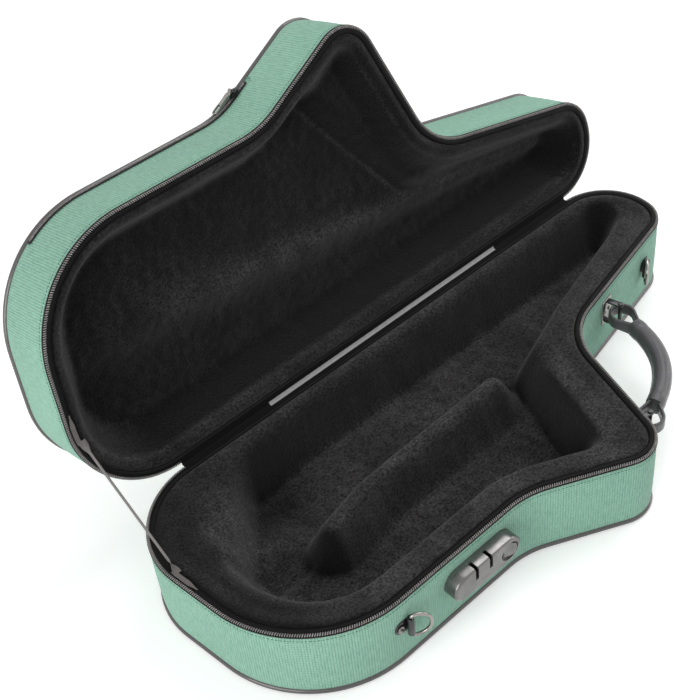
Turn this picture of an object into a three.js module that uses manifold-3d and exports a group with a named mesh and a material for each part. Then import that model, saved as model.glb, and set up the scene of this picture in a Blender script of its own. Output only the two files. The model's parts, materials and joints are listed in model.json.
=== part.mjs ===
// Contoured zip-round case for an alto saxophone, lying open on its base.
// Millimetres. +Z is up, +X points to the neck end and -Y to the side with the handle and the lock.
// The origin is on the underside of the base, at mid length and mid width.

import * as THREE from 'three';
import { mergeVertices } from 'three/addons/utils/BufferGeometryUtils.js';
import Module from 'manifold-3d';

const wasm = await Module();
wasm.setup();

// Overall sizes
const caseLength = 640;
const caseWidth = 283;
const baseHeight = 84;
const lidHeight = 75;
const lidOpening = THREE.MathUtils.degToRad(106);

// Outline in plan: each corner lies along the length and across the width, and is rounded.
// The two rounds of the neck end share the width that is left there.
const bowBackRound = 82;
const bowFrontRound = 110;
const flareRound = 88;
const bellTipRound = 34;
const waistRound = 67;
const neckEndShare = 0.314;
const neckFrontRoundShare = 0.4;
const neckBackRoundShare = 0.62;
const neckFrontRound = neckFrontRoundShare * neckEndShare * caseWidth;
const neckBackRound = neckBackRoundShare * neckEndShare * caseWidth;
const cornerShares = [
  { along: -0.014, across: 0, round: bowBackRound },
  { along: 0.025, across: 0.852, round: bowFrontRound },
  { along: 0.416, across: 0.837, round: flareRound },
  { along: 0.609, across: 1.049, round: bellTipRound },
  { along: 0.689, across: 0.474, round: waistRound },
  { along: 0.997, across: neckEndShare, round: neckFrontRound },
  { along: 1.012, across: 0, round: neckBackRound },
];
const [bowBack, bowFront, flare, bellTip, waist, neckFront, neckBack] = cornerShares.keys();
const arcStepAngle = THREE.MathUtils.degToRad(16);
const sharpestRound = 1;
const curveSteps = 6;
const roundSides = 24;

// Walls and fits
const seatGap = 0.3;
const cutOverrun = 2;
const partingGap = 0.8;
const hingeStandOff = 1;
const coverThickness = 1.2;
const shellThickness = 9.2;
const floorThickness = 8;
const panelThickness = 1.5;
const pipingRadius = 2.4;
const pipingProud = 0.8;
const pipingSides = 8;

// Zip round the rim, and the smooth band inside it
const coilWidth = 2.8;
const coilHeight = 2.6;
const coilProud = 0.6;
const coilSides = 6;
const tapeThickness = 1.5;
const tapeProud = 0.8;
const bandDrop = 0.25;
const zipPark = 72;

// Heights of the rim's layers, measured away from the parting plane
const tapeTop = partingGap + coilHeight + seatGap;
const coverTop = tapeTop + tapeThickness + seatGap;
const bandTop = partingGap + bandDrop;
const shellInset = coverThickness + seatGap;
const cavityInset = shellInset + shellThickness;
const bandInset = coilWidth - coilProud + seatGap;
const liningInset = cavityInset + seatGap;
const pipingInset = pipingRadius - pipingProud;
const panelInset = pipingInset + pipingRadius + seatGap;

// Plush lining: borders, slopes and depths of its hollows
const liningDrop = 4;
const liningCell = 13;
const hingeBorder = 13;
const frontBorder = 26;
const hollowSlope = 27;
const hingeSlope = 18;
const bowSlope = 50;
const bodyDepth = 54;
const bellDepth = 50;
const ridgeDepth = 16;
const saddleDepth = 26;
const pocketDepth = 14;
const lidBorder = 12;
const lidSlope = 26;
const lidDepth = 33;
const lidChannelDepth = 13;
const lidFacetRise = 14;
const lidCreaseRun = 15;
const bowReachShares = [0.06, 0.21];
const channelFrontShares = [[0.04, 0.42], [0.54, 0.42], [0.62, 0.45], [0.735, 0.36], [0.962, 0.215]];
const channelEndShare = 0.965;
const ridgeEndShare = 0.56;
const ridgeLineShare = 0.425;
const saddleShares = { along: 0.585, across: 0.41, round: 0.2 };
const bowPocketShares = { along: 0.17, across: 0.17, round: 0.15 };
const bellPocketShares = { along: 0.55, across: 0.65, round: 0.19 };
const lidCreaseShare = 0.36;
const lidFacetShares = [{ along: 0.525, across: 0.73 }, { along: 0.62, across: 0.4 }];

// Hinge strip in grey webbing inside, and the canvas gusset outside
const stripShares = [0.286, 0.75];
const stripWidth = 6;
const stripThickness = 0.6;
const stripLift = 0.15;
const gussetWidth = 14;
const gussetThickness = 0.6;
const gussetClear = 3;

// Lid stay ribbon and its sewn tabs
const stayBaseShare = 0.318;
const stayLidShare = 0.272;
const stayWidth = 9;
const stayThickness = 0.8;
const stayEndGap = 2;
const staySteps = 12;
const tabLength = 14;
const tabWidth = 5;
const tabInset = 6.6;
const tabTurnShare = 0.02;

// Handle between the neck wall and the bell wall
const handleDrop = 32;
const bracketNeckShare = 0.25;
const bracketBellShare = 0.23;
const bracketWidth = 22;
const bracketHeight = 32;
const bracketThickness = 1.8;
const earThickness = 2.2;
const earGap = 24;
const earWidth = 8;
const pinRadius = 2;
const pinOut = 15.8;
const loopHole = 7;
const loopThickness = 3;
const loopWidth = 14;
const loopSpread = THREE.MathUtils.degToRad(60);
const tailWidth = 8;
const tailGap = 1;
const gripWidth = 21;
const gripDepth = 16;
const gripStart = 19;
const gripRise = 15;
const gripApex = 31;
const gripSteps = 14;
const gripSides = 10;

// Ring holders for a shoulder strap
const ringDrop = 36;
const ringLockGap = 43.2;
const ringNeckShare = 0.82;
const holderWidth = 17;
const holderHeight = 15;
const holderThickness = 1.2;
const rivetRadius = 4;
const rivetHeight = 1.6;
const rivetEdge = 1.2;
const clipHeight = 22;
const clipRadius = 3.4;
const clipClearance = 0.4;
const wireRadius = 1.5;
const wireSides = 6;
const ringHeight = 28;
const ringReach = 20;
const ringRounds = { near: 3, far: 8 };
const ringAngle = THREE.MathUtils.degToRad(30);

// Zip lock on the front wall
const lockEdge = 1.1;
const lockDrop = 34;
const lockLength = 80;
const lockHeight = 28;
const lockDepth = 14;
const lockWall = 2.2;
const lockBevel = 1.6;
const notchWidth = 3.6;
const notchDepth = 14;
const notchFloor = 5;
const notchPlaces = [-14, 3];
const buttonRadius = 8.5;
const buttonProud = 0.6;
const buttonTravel = 2.5;
const buttonRim = 1.4;
const flangeThickness = 1.5;
const buttonClearance = 0.4;
const stemRadius = 2;
const plateThickness = 1.5;
const latchHeight = 5;
const latchThickness = 2.4;
const latchDrop = 4;
const toothWidth = 2.4;
const toothHeight = 17;
const springRadius = 3.5;
const springWire = 0.45;
const springTurns = 4;
const springStepsPerTurn = 8;
const springSides = 5;

// Zip sliders and their pull tabs
const sliderLength = 12;
const sliderWidth = 8;
const sliderHeight = 2.6;
const sliderDrop = 1.8;
const bailRadius = 0.8;
const bailLength = 7;
const pullLength = 27;
const pullWidth = 7;
const pullThickness = 1.8;
const eyeWall = 0.8;
const eyeClearance = 0.4;
const eyeSides = 12;
const pullSlotWidth = 3;
const pullSlotLength = 9;
const pullSlotEdge = 2.5;

// Pocket zip on the lid's side wall
const pocketEdge = 9.5;
const pocketTapeWidth = 6.4;
const pocketTapeThickness = 0.8;
const pocketCoilWidth = 2.6;
const pocketCoilHeight = 1.4;
const pocketBowShare = 0.62;
const pocketSliderShare = 0.06;
const pocketNeckShare = 0.27;

// Grab strap on the lid's outer face
const grabShare = 0.2;
const grabEdge = 5;
const grabLength = 104;
const grabWidth = 20;
const grabThickness = 3;
const grabRise = 13;
const grabFoot = 20;
const grabSteps = 12;
const patchLength = 18;
const patchOver = 2;
const patchThickness = 1.4;

// Colours and finishes
const canvas = { color: 0x84b39f, roughness: 0.9, metalness: 0 };
const trim = { color: 0x2a2b2d, roughness: 0.6, metalness: 0 };
const plush = { color: 0x1b1b1d, roughness: 1, metalness: 0 };
const foam = { color: 0xb9b6ae, roughness: 1, metalness: 0 };
const webbing = { color: 0x8a8a88, roughness: 0.9, metalness: 0 };
const leather = { color: 0x303336, roughness: 0.55, metalness: 0 };
const zipper = { color: 0x4d4d50, roughness: 0.4, metalness: 0.3 };
const steel = { color: 0xc9cac8, roughness: 0.2, metalness: 1 };
const graphite = { color: 0x5c5f61, roughness: 0.35, metalness: 0.8 };

// Solids: every geometry leaves here as one closed body with its faces outwards
const facingOut = (geometry) => {
  const flat = geometry.index ? geometry.toNonIndexed() : geometry;
  const place = flat.getAttribute('position');
  const [a, b, c] = [new THREE.Vector3(), new THREE.Vector3(), new THREE.Vector3()];
  let volume = 0;
  for (let i = 0; i < place.count; i += 3) {
    a.fromBufferAttribute(place, i);
    b.fromBufferAttribute(place, i + 1);
    c.fromBufferAttribute(place, i + 2);
    volume += a.dot(b.cross(c));
  }
  const clean = new THREE.BufferGeometry();
  clean.setAttribute('position', place.clone());
  const merged = mergeVertices(clean);
  if (volume < 0) merged.index.array.reverse();
  return merged;
};

const toManifold = (geometry) => {
  const closed = facingOut(geometry);
  return new wasm.Manifold(new wasm.Mesh({
    numProp: 3,
    vertProperties: new Float32Array(closed.getAttribute('position').array),
    triVerts: new Uint32Array(closed.index.array),
  }));
};

const fromManifold = (solid) => {
  const { vertProperties, triVerts } = solid.getMesh();
  const geometry = new THREE.BufferGeometry();
  geometry.setAttribute('position', new THREE.BufferAttribute(vertProperties, 3));
  geometry.setIndex(new THREE.BufferAttribute(triVerts, 1));
  return geometry;
};

const combine = (first, others, action) => fromManifold(
  others.reduce((solid, next) => solid[action](toManifold(next)), toManifold(first)),
);
const cut = (first, ...others) => combine(first, others, 'subtract');
const join = (first, ...others) => combine(first, others, 'add');

const prism = (points, low, high) => new THREE.ExtrudeGeometry(
  points instanceof THREE.Shape ? points : new THREE.Shape(points),
  { depth: high - low, bevelEnabled: false, curveSegments: curveSteps },
).translate(0, 0, low);

const block = (width, depth, height) => new THREE.BoxGeometry(width, depth, height);
const rod = (radius, length, sides = 12) => new THREE.CylinderGeometry(radius, radius, length, sides);

const stadium = (length, height, hole) => {
  const round = height / 2;
  const straight = length / 2 - round;
  const shape = new THREE.Shape();
  shape.absarc(straight, 0, round, -Math.PI / 2, Math.PI / 2);
  shape.absarc(-straight, 0, round, Math.PI / 2, 1.5 * Math.PI);
  if (hole) shape.holes.push(hole);
  return shape;
};

const boxFrom = (low, high) => {
  const size = high.clone().sub(low);
  return block(size.x, size.y, size.z).translate(...low.add(high).multiplyScalar(0.5).toArray());
};

// Closed loops of rounded corners, run anticlockwise. Their straight edges move in by the inset.
const edgeDirection = (corners, index) => {
  const from = corners.at(index % corners.length).point;
  return corners.at((index + 1) % corners.length).point.clone().sub(from).normalize();
};

const inwards = (direction) => new THREE.Vector2(-direction.y, direction.x);

const cornerArc = (corners, index, inset = 0) => {
  const before = edgeDirection(corners, index - 1);
  const after = edgeDirection(corners, index);
  const turn = Math.atan2(before.cross(after), before.dot(after));
  const side = Math.sign(turn);
  const round = Math.max(corners[index].round - side * inset, sharpestRound);
  const bisector = inwards(before).add(inwards(after)).normalize();
  const reach = (inset + side * round) / Math.cos(turn / 2);
  const centre = corners[index].point.clone().addScaledVector(bisector, reach);
  const start = inwards(before).multiplyScalar(-side * round);
  const steps = Math.ceil(Math.abs(turn) / arcStepAngle);
  return Array.from({ length: steps + 1 }, (_, i) => (
    start.clone().rotateAround(new THREE.Vector2(), turn * i / steps).add(centre)
  ));
};

const loopOf = (corners) => (inset) => corners.flatMap((corner, index) => cornerArc(corners, index, inset));

// Sections of bands are closed lists of [inset, height] points
const boxSection = ([left, right], [low, high]) => [[left, low], [right, low], [right, high], [left, high]];
const roundSection = (inset, height, [across, up], sides) => Array.from({ length: sides }, (_, i) => {
  const angle = (i + 0.5) * 2 * Math.PI / sides;
  return [inset + across * Math.cos(angle), height + up * Math.sin(angle)];
});

// A band follows a loop. An open band has a start and an end, counted in points of the loop.
const band = (loop, points, span) => {
  const section = points.map(([inset, height]) => new THREE.Vector2(inset, height));
  if (THREE.ShapeUtils.isClockWise(section)) section.reverse();
  const rings = section.map(({ x: inset }) => loop(inset));
  const count = rings[0].length;
  const { start, end } = span ?? { start: 0, end: count };
  const stations = [start];
  for (let i = Math.floor(start) + 1; i < end; i += 1) stations.push(i);
  stations.push(end);
  const at = (ring, station) => {
    const low = Math.floor(station);
    const from = rings[ring].at(low % count);
    const spot = from.clone().lerp(rings[ring].at((low + 1) % count), station - low);
    return [spot.x, spot.y, section[ring].y];
  };
  const positions = [];
  const face = (...places) => positions.push(...places.flat());
  stations.slice(1).forEach((station, s) => section.forEach((_, ring) => {
    const next = (ring + 1) % section.length;
    face(at(ring, stations[s]), at(next, stations[s]), at(next, station));
    face(at(ring, stations[s]), at(next, station), at(ring, station));
  }));
  if (span) {
    THREE.ShapeUtils.triangulateShape(section, []).forEach((triangle) => {
      face(...triangle.map((i) => at(i, end)));
      face(...triangle.toReversed().map((i) => at(i, start)));
    });
  }
  const geometry = new THREE.BufferGeometry();
  geometry.setAttribute('position', new THREE.Float32BufferAttribute(positions, 3));
  return geometry;
};

// The outline of the case, and stations and frames on it
const onPlan = ({ along, across }) => (
  new THREE.Vector2((along - 0.5) * caseLength, (0.5 - across) * caseWidth)
);
const corners = cornerShares.map((corner) => ({ point: onPlan(corner), round: corner.round }));
const outline = loopOf(corners);
const rim = outline(0);
const hingeWall = caseWidth / 2;
const hingeLine = hingeWall + hingeStandOff;
const alongArc = (index, share) => {
  const before = corners.slice(0, index).reduce((sum, _, i) => sum + cornerArc(corners, i).length, 0);
  return before + share * (cornerArc(corners, index).length - 1);
};
const wallEnds = (index) => [
  cornerArc(corners, index).at(-1),
  cornerArc(corners, (index + 1) % corners.length)[0],
];
const wallLength = (index) => {
  const [from, to] = wallEnds(index);
  return from.distanceTo(to);
};
const hingeLength = wallLength(neckBack);
const zipSpan = { start: -zipPark / hingeLength, end: alongArc(neckBack, 1) + zipPark / hingeLength };

// A frame on the outline: X runs along it, Y is up and Z points out of the wall
const outlineFrame = (group, { spot, along }, height, inset = 0) => {
  const out = inwards(along).negate();
  spot.addScaledVector(out, -inset);
  const frame = new THREE.Group();
  frame.applyMatrix4(new THREE.Matrix4().makeBasis(
    new THREE.Vector3(along.x, along.y, 0),
    new THREE.Vector3(0, 0, 1),
    new THREE.Vector3(out.x, out.y, 0),
  ).setPosition(spot.x, spot.y, height));
  group.add(frame);
  return frame;
};

const wallFrame = (group, index, share, height, inset) => {
  const [from, to] = wallEnds(index);
  const place = { spot: from.lerp(to, share), along: edgeDirection(corners, index) };
  return outlineFrame(group, place, height, inset);
};

// The place this far along a wall. A place before its start lies back round the corner.
const alongWall = (index, distance) => {
  const points = [wallEnds(index)[1], ...cornerArc(corners, index).toReversed()];
  let left = wallLength(index) - distance;
  let next = 1;
  while (left > points[next - 1].distanceTo(points[next])) {
    left -= points[next - 1].distanceTo(points[next]);
    next += 1;
  }
  const along = points[next - 1].clone().sub(points[next]).normalize();
  return { spot: points[next - 1].clone().addScaledVector(along, -left), along };
};

const rimDistance = (spot) => {
  const line = new THREE.Line3();
  const nearest = new THREE.Vector3();
  return Math.min(...rim.map((corner, i) => {
    const next = rim[(i + 1) % rim.length];
    line.start.set(corner.x, corner.y, 0);
    line.end.set(next.x, next.y, 0);
    return line.closestPointToPoint(spot, true, nearest).distanceTo(spot);
  }));
};

// The point of the bow end, moved in, that lies this share of the width from the hinge wall
const bowRimPoint = (inset, across) => {
  const level = onPlan({ along: 0, across }).y;
  const loop = outline(inset);
  const i = loop.findIndex((spot, k) => spot.y >= level && loop[k + 1].y < level);
  return loop[i].clone().lerp(loop[i + 1], (loop[i].y - level) / (loop[i].y - loop[i + 1].y));
};

const piece = (group, name, geometry, finish) => {
  const mesh = new THREE.Mesh(facingOut(geometry), new THREE.MeshStandardMaterial(finish));
  mesh.name = name;
  group.add(mesh);
};

const innerGroup = (group, x, y, z) => {
  const inner = new THREE.Group();
  inner.position.set(x, y, z);
  group.add(inner);
  return inner;
};

// How far a hollow has fallen, from 0 at its edge to 1, the slope's width further in
const fall = (distance, slope) => THREE.MathUtils.smoothstep(distance, 0, slope);

// The value at a place of a table of [place, value] rows, level before its first row and past its last
const alongTable = (table, along) => {
  const next = table.findIndex(([place]) => along < place);
  if (next < 1) return table.at(next)[1];
  const [[startPlace, startValue], [endPlace, endValue]] = [table[next - 1], table[next]];
  return THREE.MathUtils.mapLinear(along, startPlace, endPlace, startValue, endValue);
};

const inPocket = (spot, shares) => {
  const reach = shares.round * caseWidth;
  return fall(reach - onPlan(shares).distanceTo(spot), Math.min(hollowSlope, reach));
};

// Base: the body lies along the hinge, the bow and the bell in front, with a low ridge between them
const baseHollow = (spot) => {
  const inside = rimDistance(spot);
  const along = spot.x / caseLength + 0.5;
  const fromHinge = hingeWall - spot.y;
  const toBow = 1 - THREE.MathUtils.smoothstep(along, ...bowReachShares);
  const slope = THREE.MathUtils.lerp(hollowSlope, bowSlope, toBow);
  const end = fall(inside - THREE.MathUtils.lerp(hingeBorder, frontBorder, toBow), slope);
  const front = fall(inside - frontBorder, slope);
  const body = fall(fromHinge - hingeBorder, hingeSlope) * end
    * fall(alongTable(channelFrontShares, along) * caseWidth - fromHinge, hollowSlope)
    * fall((channelEndShare - along) * caseLength, hollowSlope);
  const bell = front * fall(fromHinge - ridgeLineShare * caseWidth, hollowSlope);
  const ridge = front * fall((ridgeEndShare - along) * caseLength, hollowSlope);
  const saddle = front * inPocket(spot, saddleShares);
  const depth = Math.max(body * bodyDepth, bell * bellDepth, ridge * ridgeDepth, saddle * saddleDepth);
  const pockets = body * inPocket(spot, bowPocketShares) + bell * inPocket(spot, bellPocketShares);
  return liningDrop + depth + pockets * pocketDepth;
};

// Lid: shallower, with a channel along the hinge and a raised facet beside the bell
const lidHollow = (spot) => {
  const along = spot.x / caseLength + 0.5;
  const across = (hingeWall - spot.y) / caseWidth;
  const [low, high] = lidFacetShares;
  const edge = low.along + (high.along - low.along) * (across - low.across) / (high.across - low.across);
  const open = fall(rimDistance(spot) - lidBorder, lidSlope);
  const channel = fall((lidCreaseShare - across) * caseWidth, lidCreaseRun);
  const pastCrease = fall((across - lidCreaseShare) * caseWidth, lidSlope);
  const facet = pastCrease * fall((along - edge) * caseLength, lidSlope);
  return liningDrop + open * (lidDepth + channel * lidChannelDepth - facet * lidFacetRise);
};

// One half of the case. Heights count from the parting plane: down in the base, up in the lid.
const half = (group, prefix, side, height, hollow) => {
  const shellEnd = height - panelThickness - seatGap;
  const cavityEnd = shellEnd - floorThickness;
  const pipingHeight = height - seatGap - pipingRadius;
  const coverEnd = pipingHeight - pipingRadius - seatGap;
  const ring = (section, span) => band(outline, section.map(([inset, away]) => [inset, side * away]), span);
  const slab = (inset, near, far) => {
    const [low, high] = [side * near, side * far].sort((a, b) => a - b);
    return prism(outline(inset), low, high);
  };

  piece(group, `${prefix}_shell`, cut(
    join(slab(shellInset, tapeTop, coverEnd), slab(panelInset, coverEnd - cutOverrun, shellEnd)),
    slab(cavityInset, tapeTop - cutOverrun, cavityEnd),
  ), foam);
  piece(group, `${prefix}_cover`, ring(boxSection([0, coverThickness], [coverTop, coverEnd])), canvas);
  piece(group, `${prefix}_panel`, slab(panelInset, shellEnd + seatGap, height), canvas);
  piece(group, `${prefix}_piping`, ring(
    roundSection(pipingInset, pipingHeight, [pipingRadius, pipingRadius], pipingSides),
  ), trim);
  piece(group, `${prefix}_rim_band`, ring(
    boxSection([bandInset, cavityInset], [bandTop, tapeTop - seatGap]),
  ), trim);
  piece(group, `${prefix}_zip_tape`, ring(
    boxSection([-tapeProud, coverThickness], [tapeTop, tapeTop + tapeThickness]),
    zipSpan,
  ), trim);
  const coilRadii = [coilWidth / 2, coilHeight / 2];
  piece(group, `${prefix}_zip_coil`, ring(
    roundSection(coilWidth / 2 - coilProud, partingGap + coilHeight / 2, coilRadii, coilSides),
    zipSpan,
  ), zipper);

  const hollowBlock = new THREE.BoxGeometry(
    caseLength,
    caseWidth,
    height,
    Math.round(caseLength / liningCell),
    Math.round(caseWidth / liningCell),
  );
  const place = hollowBlock.getAttribute('position');
  const spot = new THREE.Vector3();
  for (let i = 0; i < place.count; i += 1) {
    spot.set(place.getX(i), place.getY(i), 0);
    const away = place.getZ(i) * side > 0 ? hollow(spot) : -cutOverrun;
    place.setZ(i, side * away);
  }
  piece(group, `${prefix}_lining`, cut(slab(liningInset, 0, cavityEnd - seatGap), hollowBlock), plush);

  const leaf = (name, ends, [back, front], [near, far], finish) => {
    const [low, high] = [side * near, side * far].sort((a, b) => a - b);
    piece(group, `${prefix}_${name}`, boxFrom(
      new THREE.Vector3(ends[0], hingeLine - back, low),
      new THREE.Vector3(ends[1], hingeLine - front, high),
    ), finish);
  };
  leaf('hinge_strip', stripShares.map((along) => onPlan({ along, across: 0 }).x),
    [stripWidth + seatGap, seatGap], [stripLift, stripLift + stripThickness], webbing);
  const gussetInner = hingeStandOff - seatGap;
  const gussetReach = zipPark + gussetClear;
  leaf('hinge_gusset', [wallEnds(neckBack)[1].x + gussetReach, wallEnds(neckBack)[0].x - gussetReach],
    [gussetInner, gussetInner - gussetThickness],
    [stripLift + stripThickness + seatGap, gussetWidth], canvas);
};

// Tab that the lid stay is sewn to, at a share of the width on the bow end
const stayTab = (group, prefix, side, share) => {
  const anchor = bowRimPoint(tabInset, share);
  const above = bowRimPoint(tabInset, share - tabTurnShare);
  const tab = innerGroup(group, anchor.x, anchor.y, side * (stripLift + stripThickness / 2));
  tab.rotation.z = above.sub(anchor).angle();
  piece(tab, `stay_tab_${prefix}`, block(tabLength, tabWidth, stripThickness), webbing);
  return tab;
};

// Ribbon that holds the lid open: flat at its sewn ends, with half a twist between them
const stay = (group, ...tabs) => {
  const [from, to] = tabs.map((tab) => tab.getWorldPosition(new THREE.Vector3()));
  const run = to.clone().sub(from);
  const length = run.length() - 2 * stayEndGap;
  const geometry = new THREE.BoxGeometry(length, stayWidth, stayThickness, staySteps, 1, 1);
  const place = geometry.getAttribute('position');
  const spot = new THREE.Vector3();
  for (let i = 0; i < place.count; i += 1) {
    spot.fromBufferAttribute(place, i);
    const turn = Math.PI * THREE.MathUtils.smoothstep(spot.x, -length / 2, length / 2);
    spot.applyAxisAngle(new THREE.Vector3(1, 0, 0), turn);
    place.setXYZ(i, ...spot);
  }
  run.normalize();
  const across = new THREE.Vector3(-1, 0, 0).projectOnPlane(run).normalize();
  const frame = new THREE.Group();
  frame.applyMatrix4(new THREE.Matrix4().makeBasis(run, across, run.clone().cross(across))
    .setPosition(from.clone().lerp(to, 0.5)));
  group.add(frame);
  piece(frame, 'lid_stay', geometry, trim);
};

// Zip slider with a bail bar, and the pull tab whose eye runs on the bar. Y points away from the pull's end.
const barHeight = sliderHeight + bailRadius + eyeClearance + eyeWall + seatGap;
const zipSlider = (frame, sliderName, pullName, turn) => {
  const bar = rod(bailRadius, bailLength, eyeSides).rotateZ(Math.PI / 2).translate(0, 0, barHeight);
  const leg = (x) => boxFrom(
    new THREE.Vector3(x - bailRadius, -bailRadius, sliderHeight / 2),
    new THREE.Vector3(x + bailRadius, bailRadius, barHeight + bailRadius),
  );
  const bail = join(leg(-bailLength / 2), leg(bailLength / 2), bar).rotateZ(turn);
  piece(frame, sliderName, join(prism(stadium(sliderLength, sliderWidth), 0, sliderHeight), bail), graphite);

  const eye = bailRadius + eyeClearance;
  const sleeve = bailLength - 2 * bailRadius - 2 * eyeClearance;
  const slot = stadium(pullSlotLength, pullSlotWidth).getPoints(curveSteps);
  const slotPlace = (pullLength - pullSlotLength) / 2 - pullSlotEdge;
  const plateHole = new THREE.Path(slot.map(({ x, y }) => new THREE.Vector2(x + slotPlace, y)));
  const plate = prism(stadium(pullLength - eye, pullWidth, plateHole), -pullThickness / 2, pullThickness / 2)
    .rotateZ(-Math.PI / 2).translate(0, -(pullLength + eye + eyeClearance) / 2, 0);
  const tube = rod(eye + eyeWall, sleeve, eyeSides).rotateZ(Math.PI / 2);
  const bore = rod(eye, sleeve + cutOverrun, eyeSides).rotateZ(Math.PI / 2);
  const pull = innerGroup(frame, 0, 0, barHeight);
  pull.rotation.z = turn;
  piece(pull, pullName, join(cut(tube, bore), plate), steel);
};

// Handle on two vertical pins. Its frame runs from the neck pin to the bell pin, with Y away from the case.
const bracket = (frame, name) => {
  const plate = boxFrom(
    new THREE.Vector3(-bracketWidth / 2, -bracketHeight / 2, seatGap),
    new THREE.Vector3(bracketWidth / 2, bracketHeight / 2, seatGap + bracketThickness),
  );
  const earHeight = pinOut + earWidth / 2 - seatGap;
  const ear = (side) => block(earWidth, earThickness, earHeight)
    .translate(0, side * (earGap + earThickness) / 2, seatGap + earHeight / 2);
  const pin = rod(pinRadius, earGap + earThickness).translate(0, 0, pinOut);
  piece(frame, name, join(plate, ear(-1), ear(1), pin), steel);
  return new THREE.Vector3(0, 0, pinOut).applyMatrix4(frame.matrix);
};

const handle = (base) => {
  const neckPin = bracket(wallFrame(base, waist, bracketNeckShare, -handleDrop), 'handle_bracket_neck');
  const bellPin = bracket(wallFrame(base, bellTip, bracketBellShare, -handleDrop), 'handle_bracket_bell');
  const along = bellPin.clone().sub(neckPin);
  const span = along.length();
  along.normalize();
  const up = new THREE.Vector3(0, 0, 1);
  const frame = new THREE.Group();
  frame.applyMatrix4(new THREE.Matrix4().makeBasis(along, up.clone().cross(along), up).setPosition(neckPin));
  base.add(frame);

  const shape = new THREE.Shape();
  const tail = Math.hypot(gripStart, gripRise) - tailGap;
  shape.absarc(0, 0, loopHole + loopThickness, loopSpread, 2 * Math.PI - loopSpread);
  shape.lineTo(tail, -tailWidth / 2);
  shape.lineTo(tail, tailWidth / 2);
  shape.holes.push(new THREE.Path().absarc(0, 0, loopHole, 0, 2 * Math.PI));
  const lean = Math.atan2(gripRise, gripStart);
  [['neck', 0, lean], ['bell', span, Math.PI - lean]].forEach(([end, x, angle]) => {
    const loop = prism(shape, -loopWidth / 2, loopWidth / 2).rotateZ(angle).translate(x, 0, 0);
    piece(frame, `handle_loop_${end}`, loop, leather);
  });

  const section = new THREE.EllipseCurve(0, 0, gripWidth / 2, gripDepth / 2).getPoints(gripSides).slice(1);
  const path = new THREE.QuadraticBezierCurve3(
    new THREE.Vector3(gripStart, gripRise, 0),
    new THREE.Vector3(span / 2, 2 * gripApex - gripRise, 0),
    new THREE.Vector3(span - gripStart, gripRise, 0),
  );
  const grip = new THREE.ExtrudeGeometry(new THREE.Shape(section), { extrudePath: path, steps: gripSteps });
  piece(frame, 'handle_grip', grip, leather);
};

// Ring for a shoulder strap, held by an upright clip beside a riveted plate. The ring points along facing.
const ringHolder = (frame, end, facing) => {
  const plateTop = seatGap + holderThickness;
  const plateBack = -facing * (holderWidth - clipRadius);
  piece(frame, `ring_plate_${end}`, boxFrom(
    new THREE.Vector3(Math.min(plateBack, facing * clipRadius), -holderHeight / 2, seatGap),
    new THREE.Vector3(Math.max(plateBack, facing * clipRadius), holderHeight / 2, plateTop),
  ), graphite);
  const rivetPlace = plateBack + facing * (rivetRadius + rivetEdge);
  const rivet = rod(rivetRadius, rivetHeight).rotateX(Math.PI / 2)
    .translate(rivetPlace, 0, plateTop + seatGap + rivetHeight / 2);
  piece(frame, `ring_rivet_${end}`, rivet, steel);

  const hinge = innerGroup(frame, 0, 0, plateTop + seatGap + clipRadius);
  const bore = rod(wireRadius + clipClearance, clipHeight + cutOverrun);
  piece(hinge, `ring_clip_${end}`, cut(rod(clipRadius, clipHeight), bore), graphite);
  const swing = innerGroup(hinge, 0, 0, 0);
  swing.rotation.y = facing > 0 ? -ringAngle : ringAngle - Math.PI;
  const { near, far } = ringRounds;
  const ringCorners = [
    { point: new THREE.Vector2(0, -ringHeight / 2), round: near },
    { point: new THREE.Vector2(ringReach, -ringHeight / 2), round: far },
    { point: new THREE.Vector2(ringReach, ringHeight / 2), round: far },
    { point: new THREE.Vector2(0, ringHeight / 2), round: near },
  ];
  const wire = roundSection(0, 0, [wireRadius, wireRadius], wireSides);
  piece(swing, `strap_ring_${end}`, band(loopOf(ringCorners), wire), steel);
};

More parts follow.
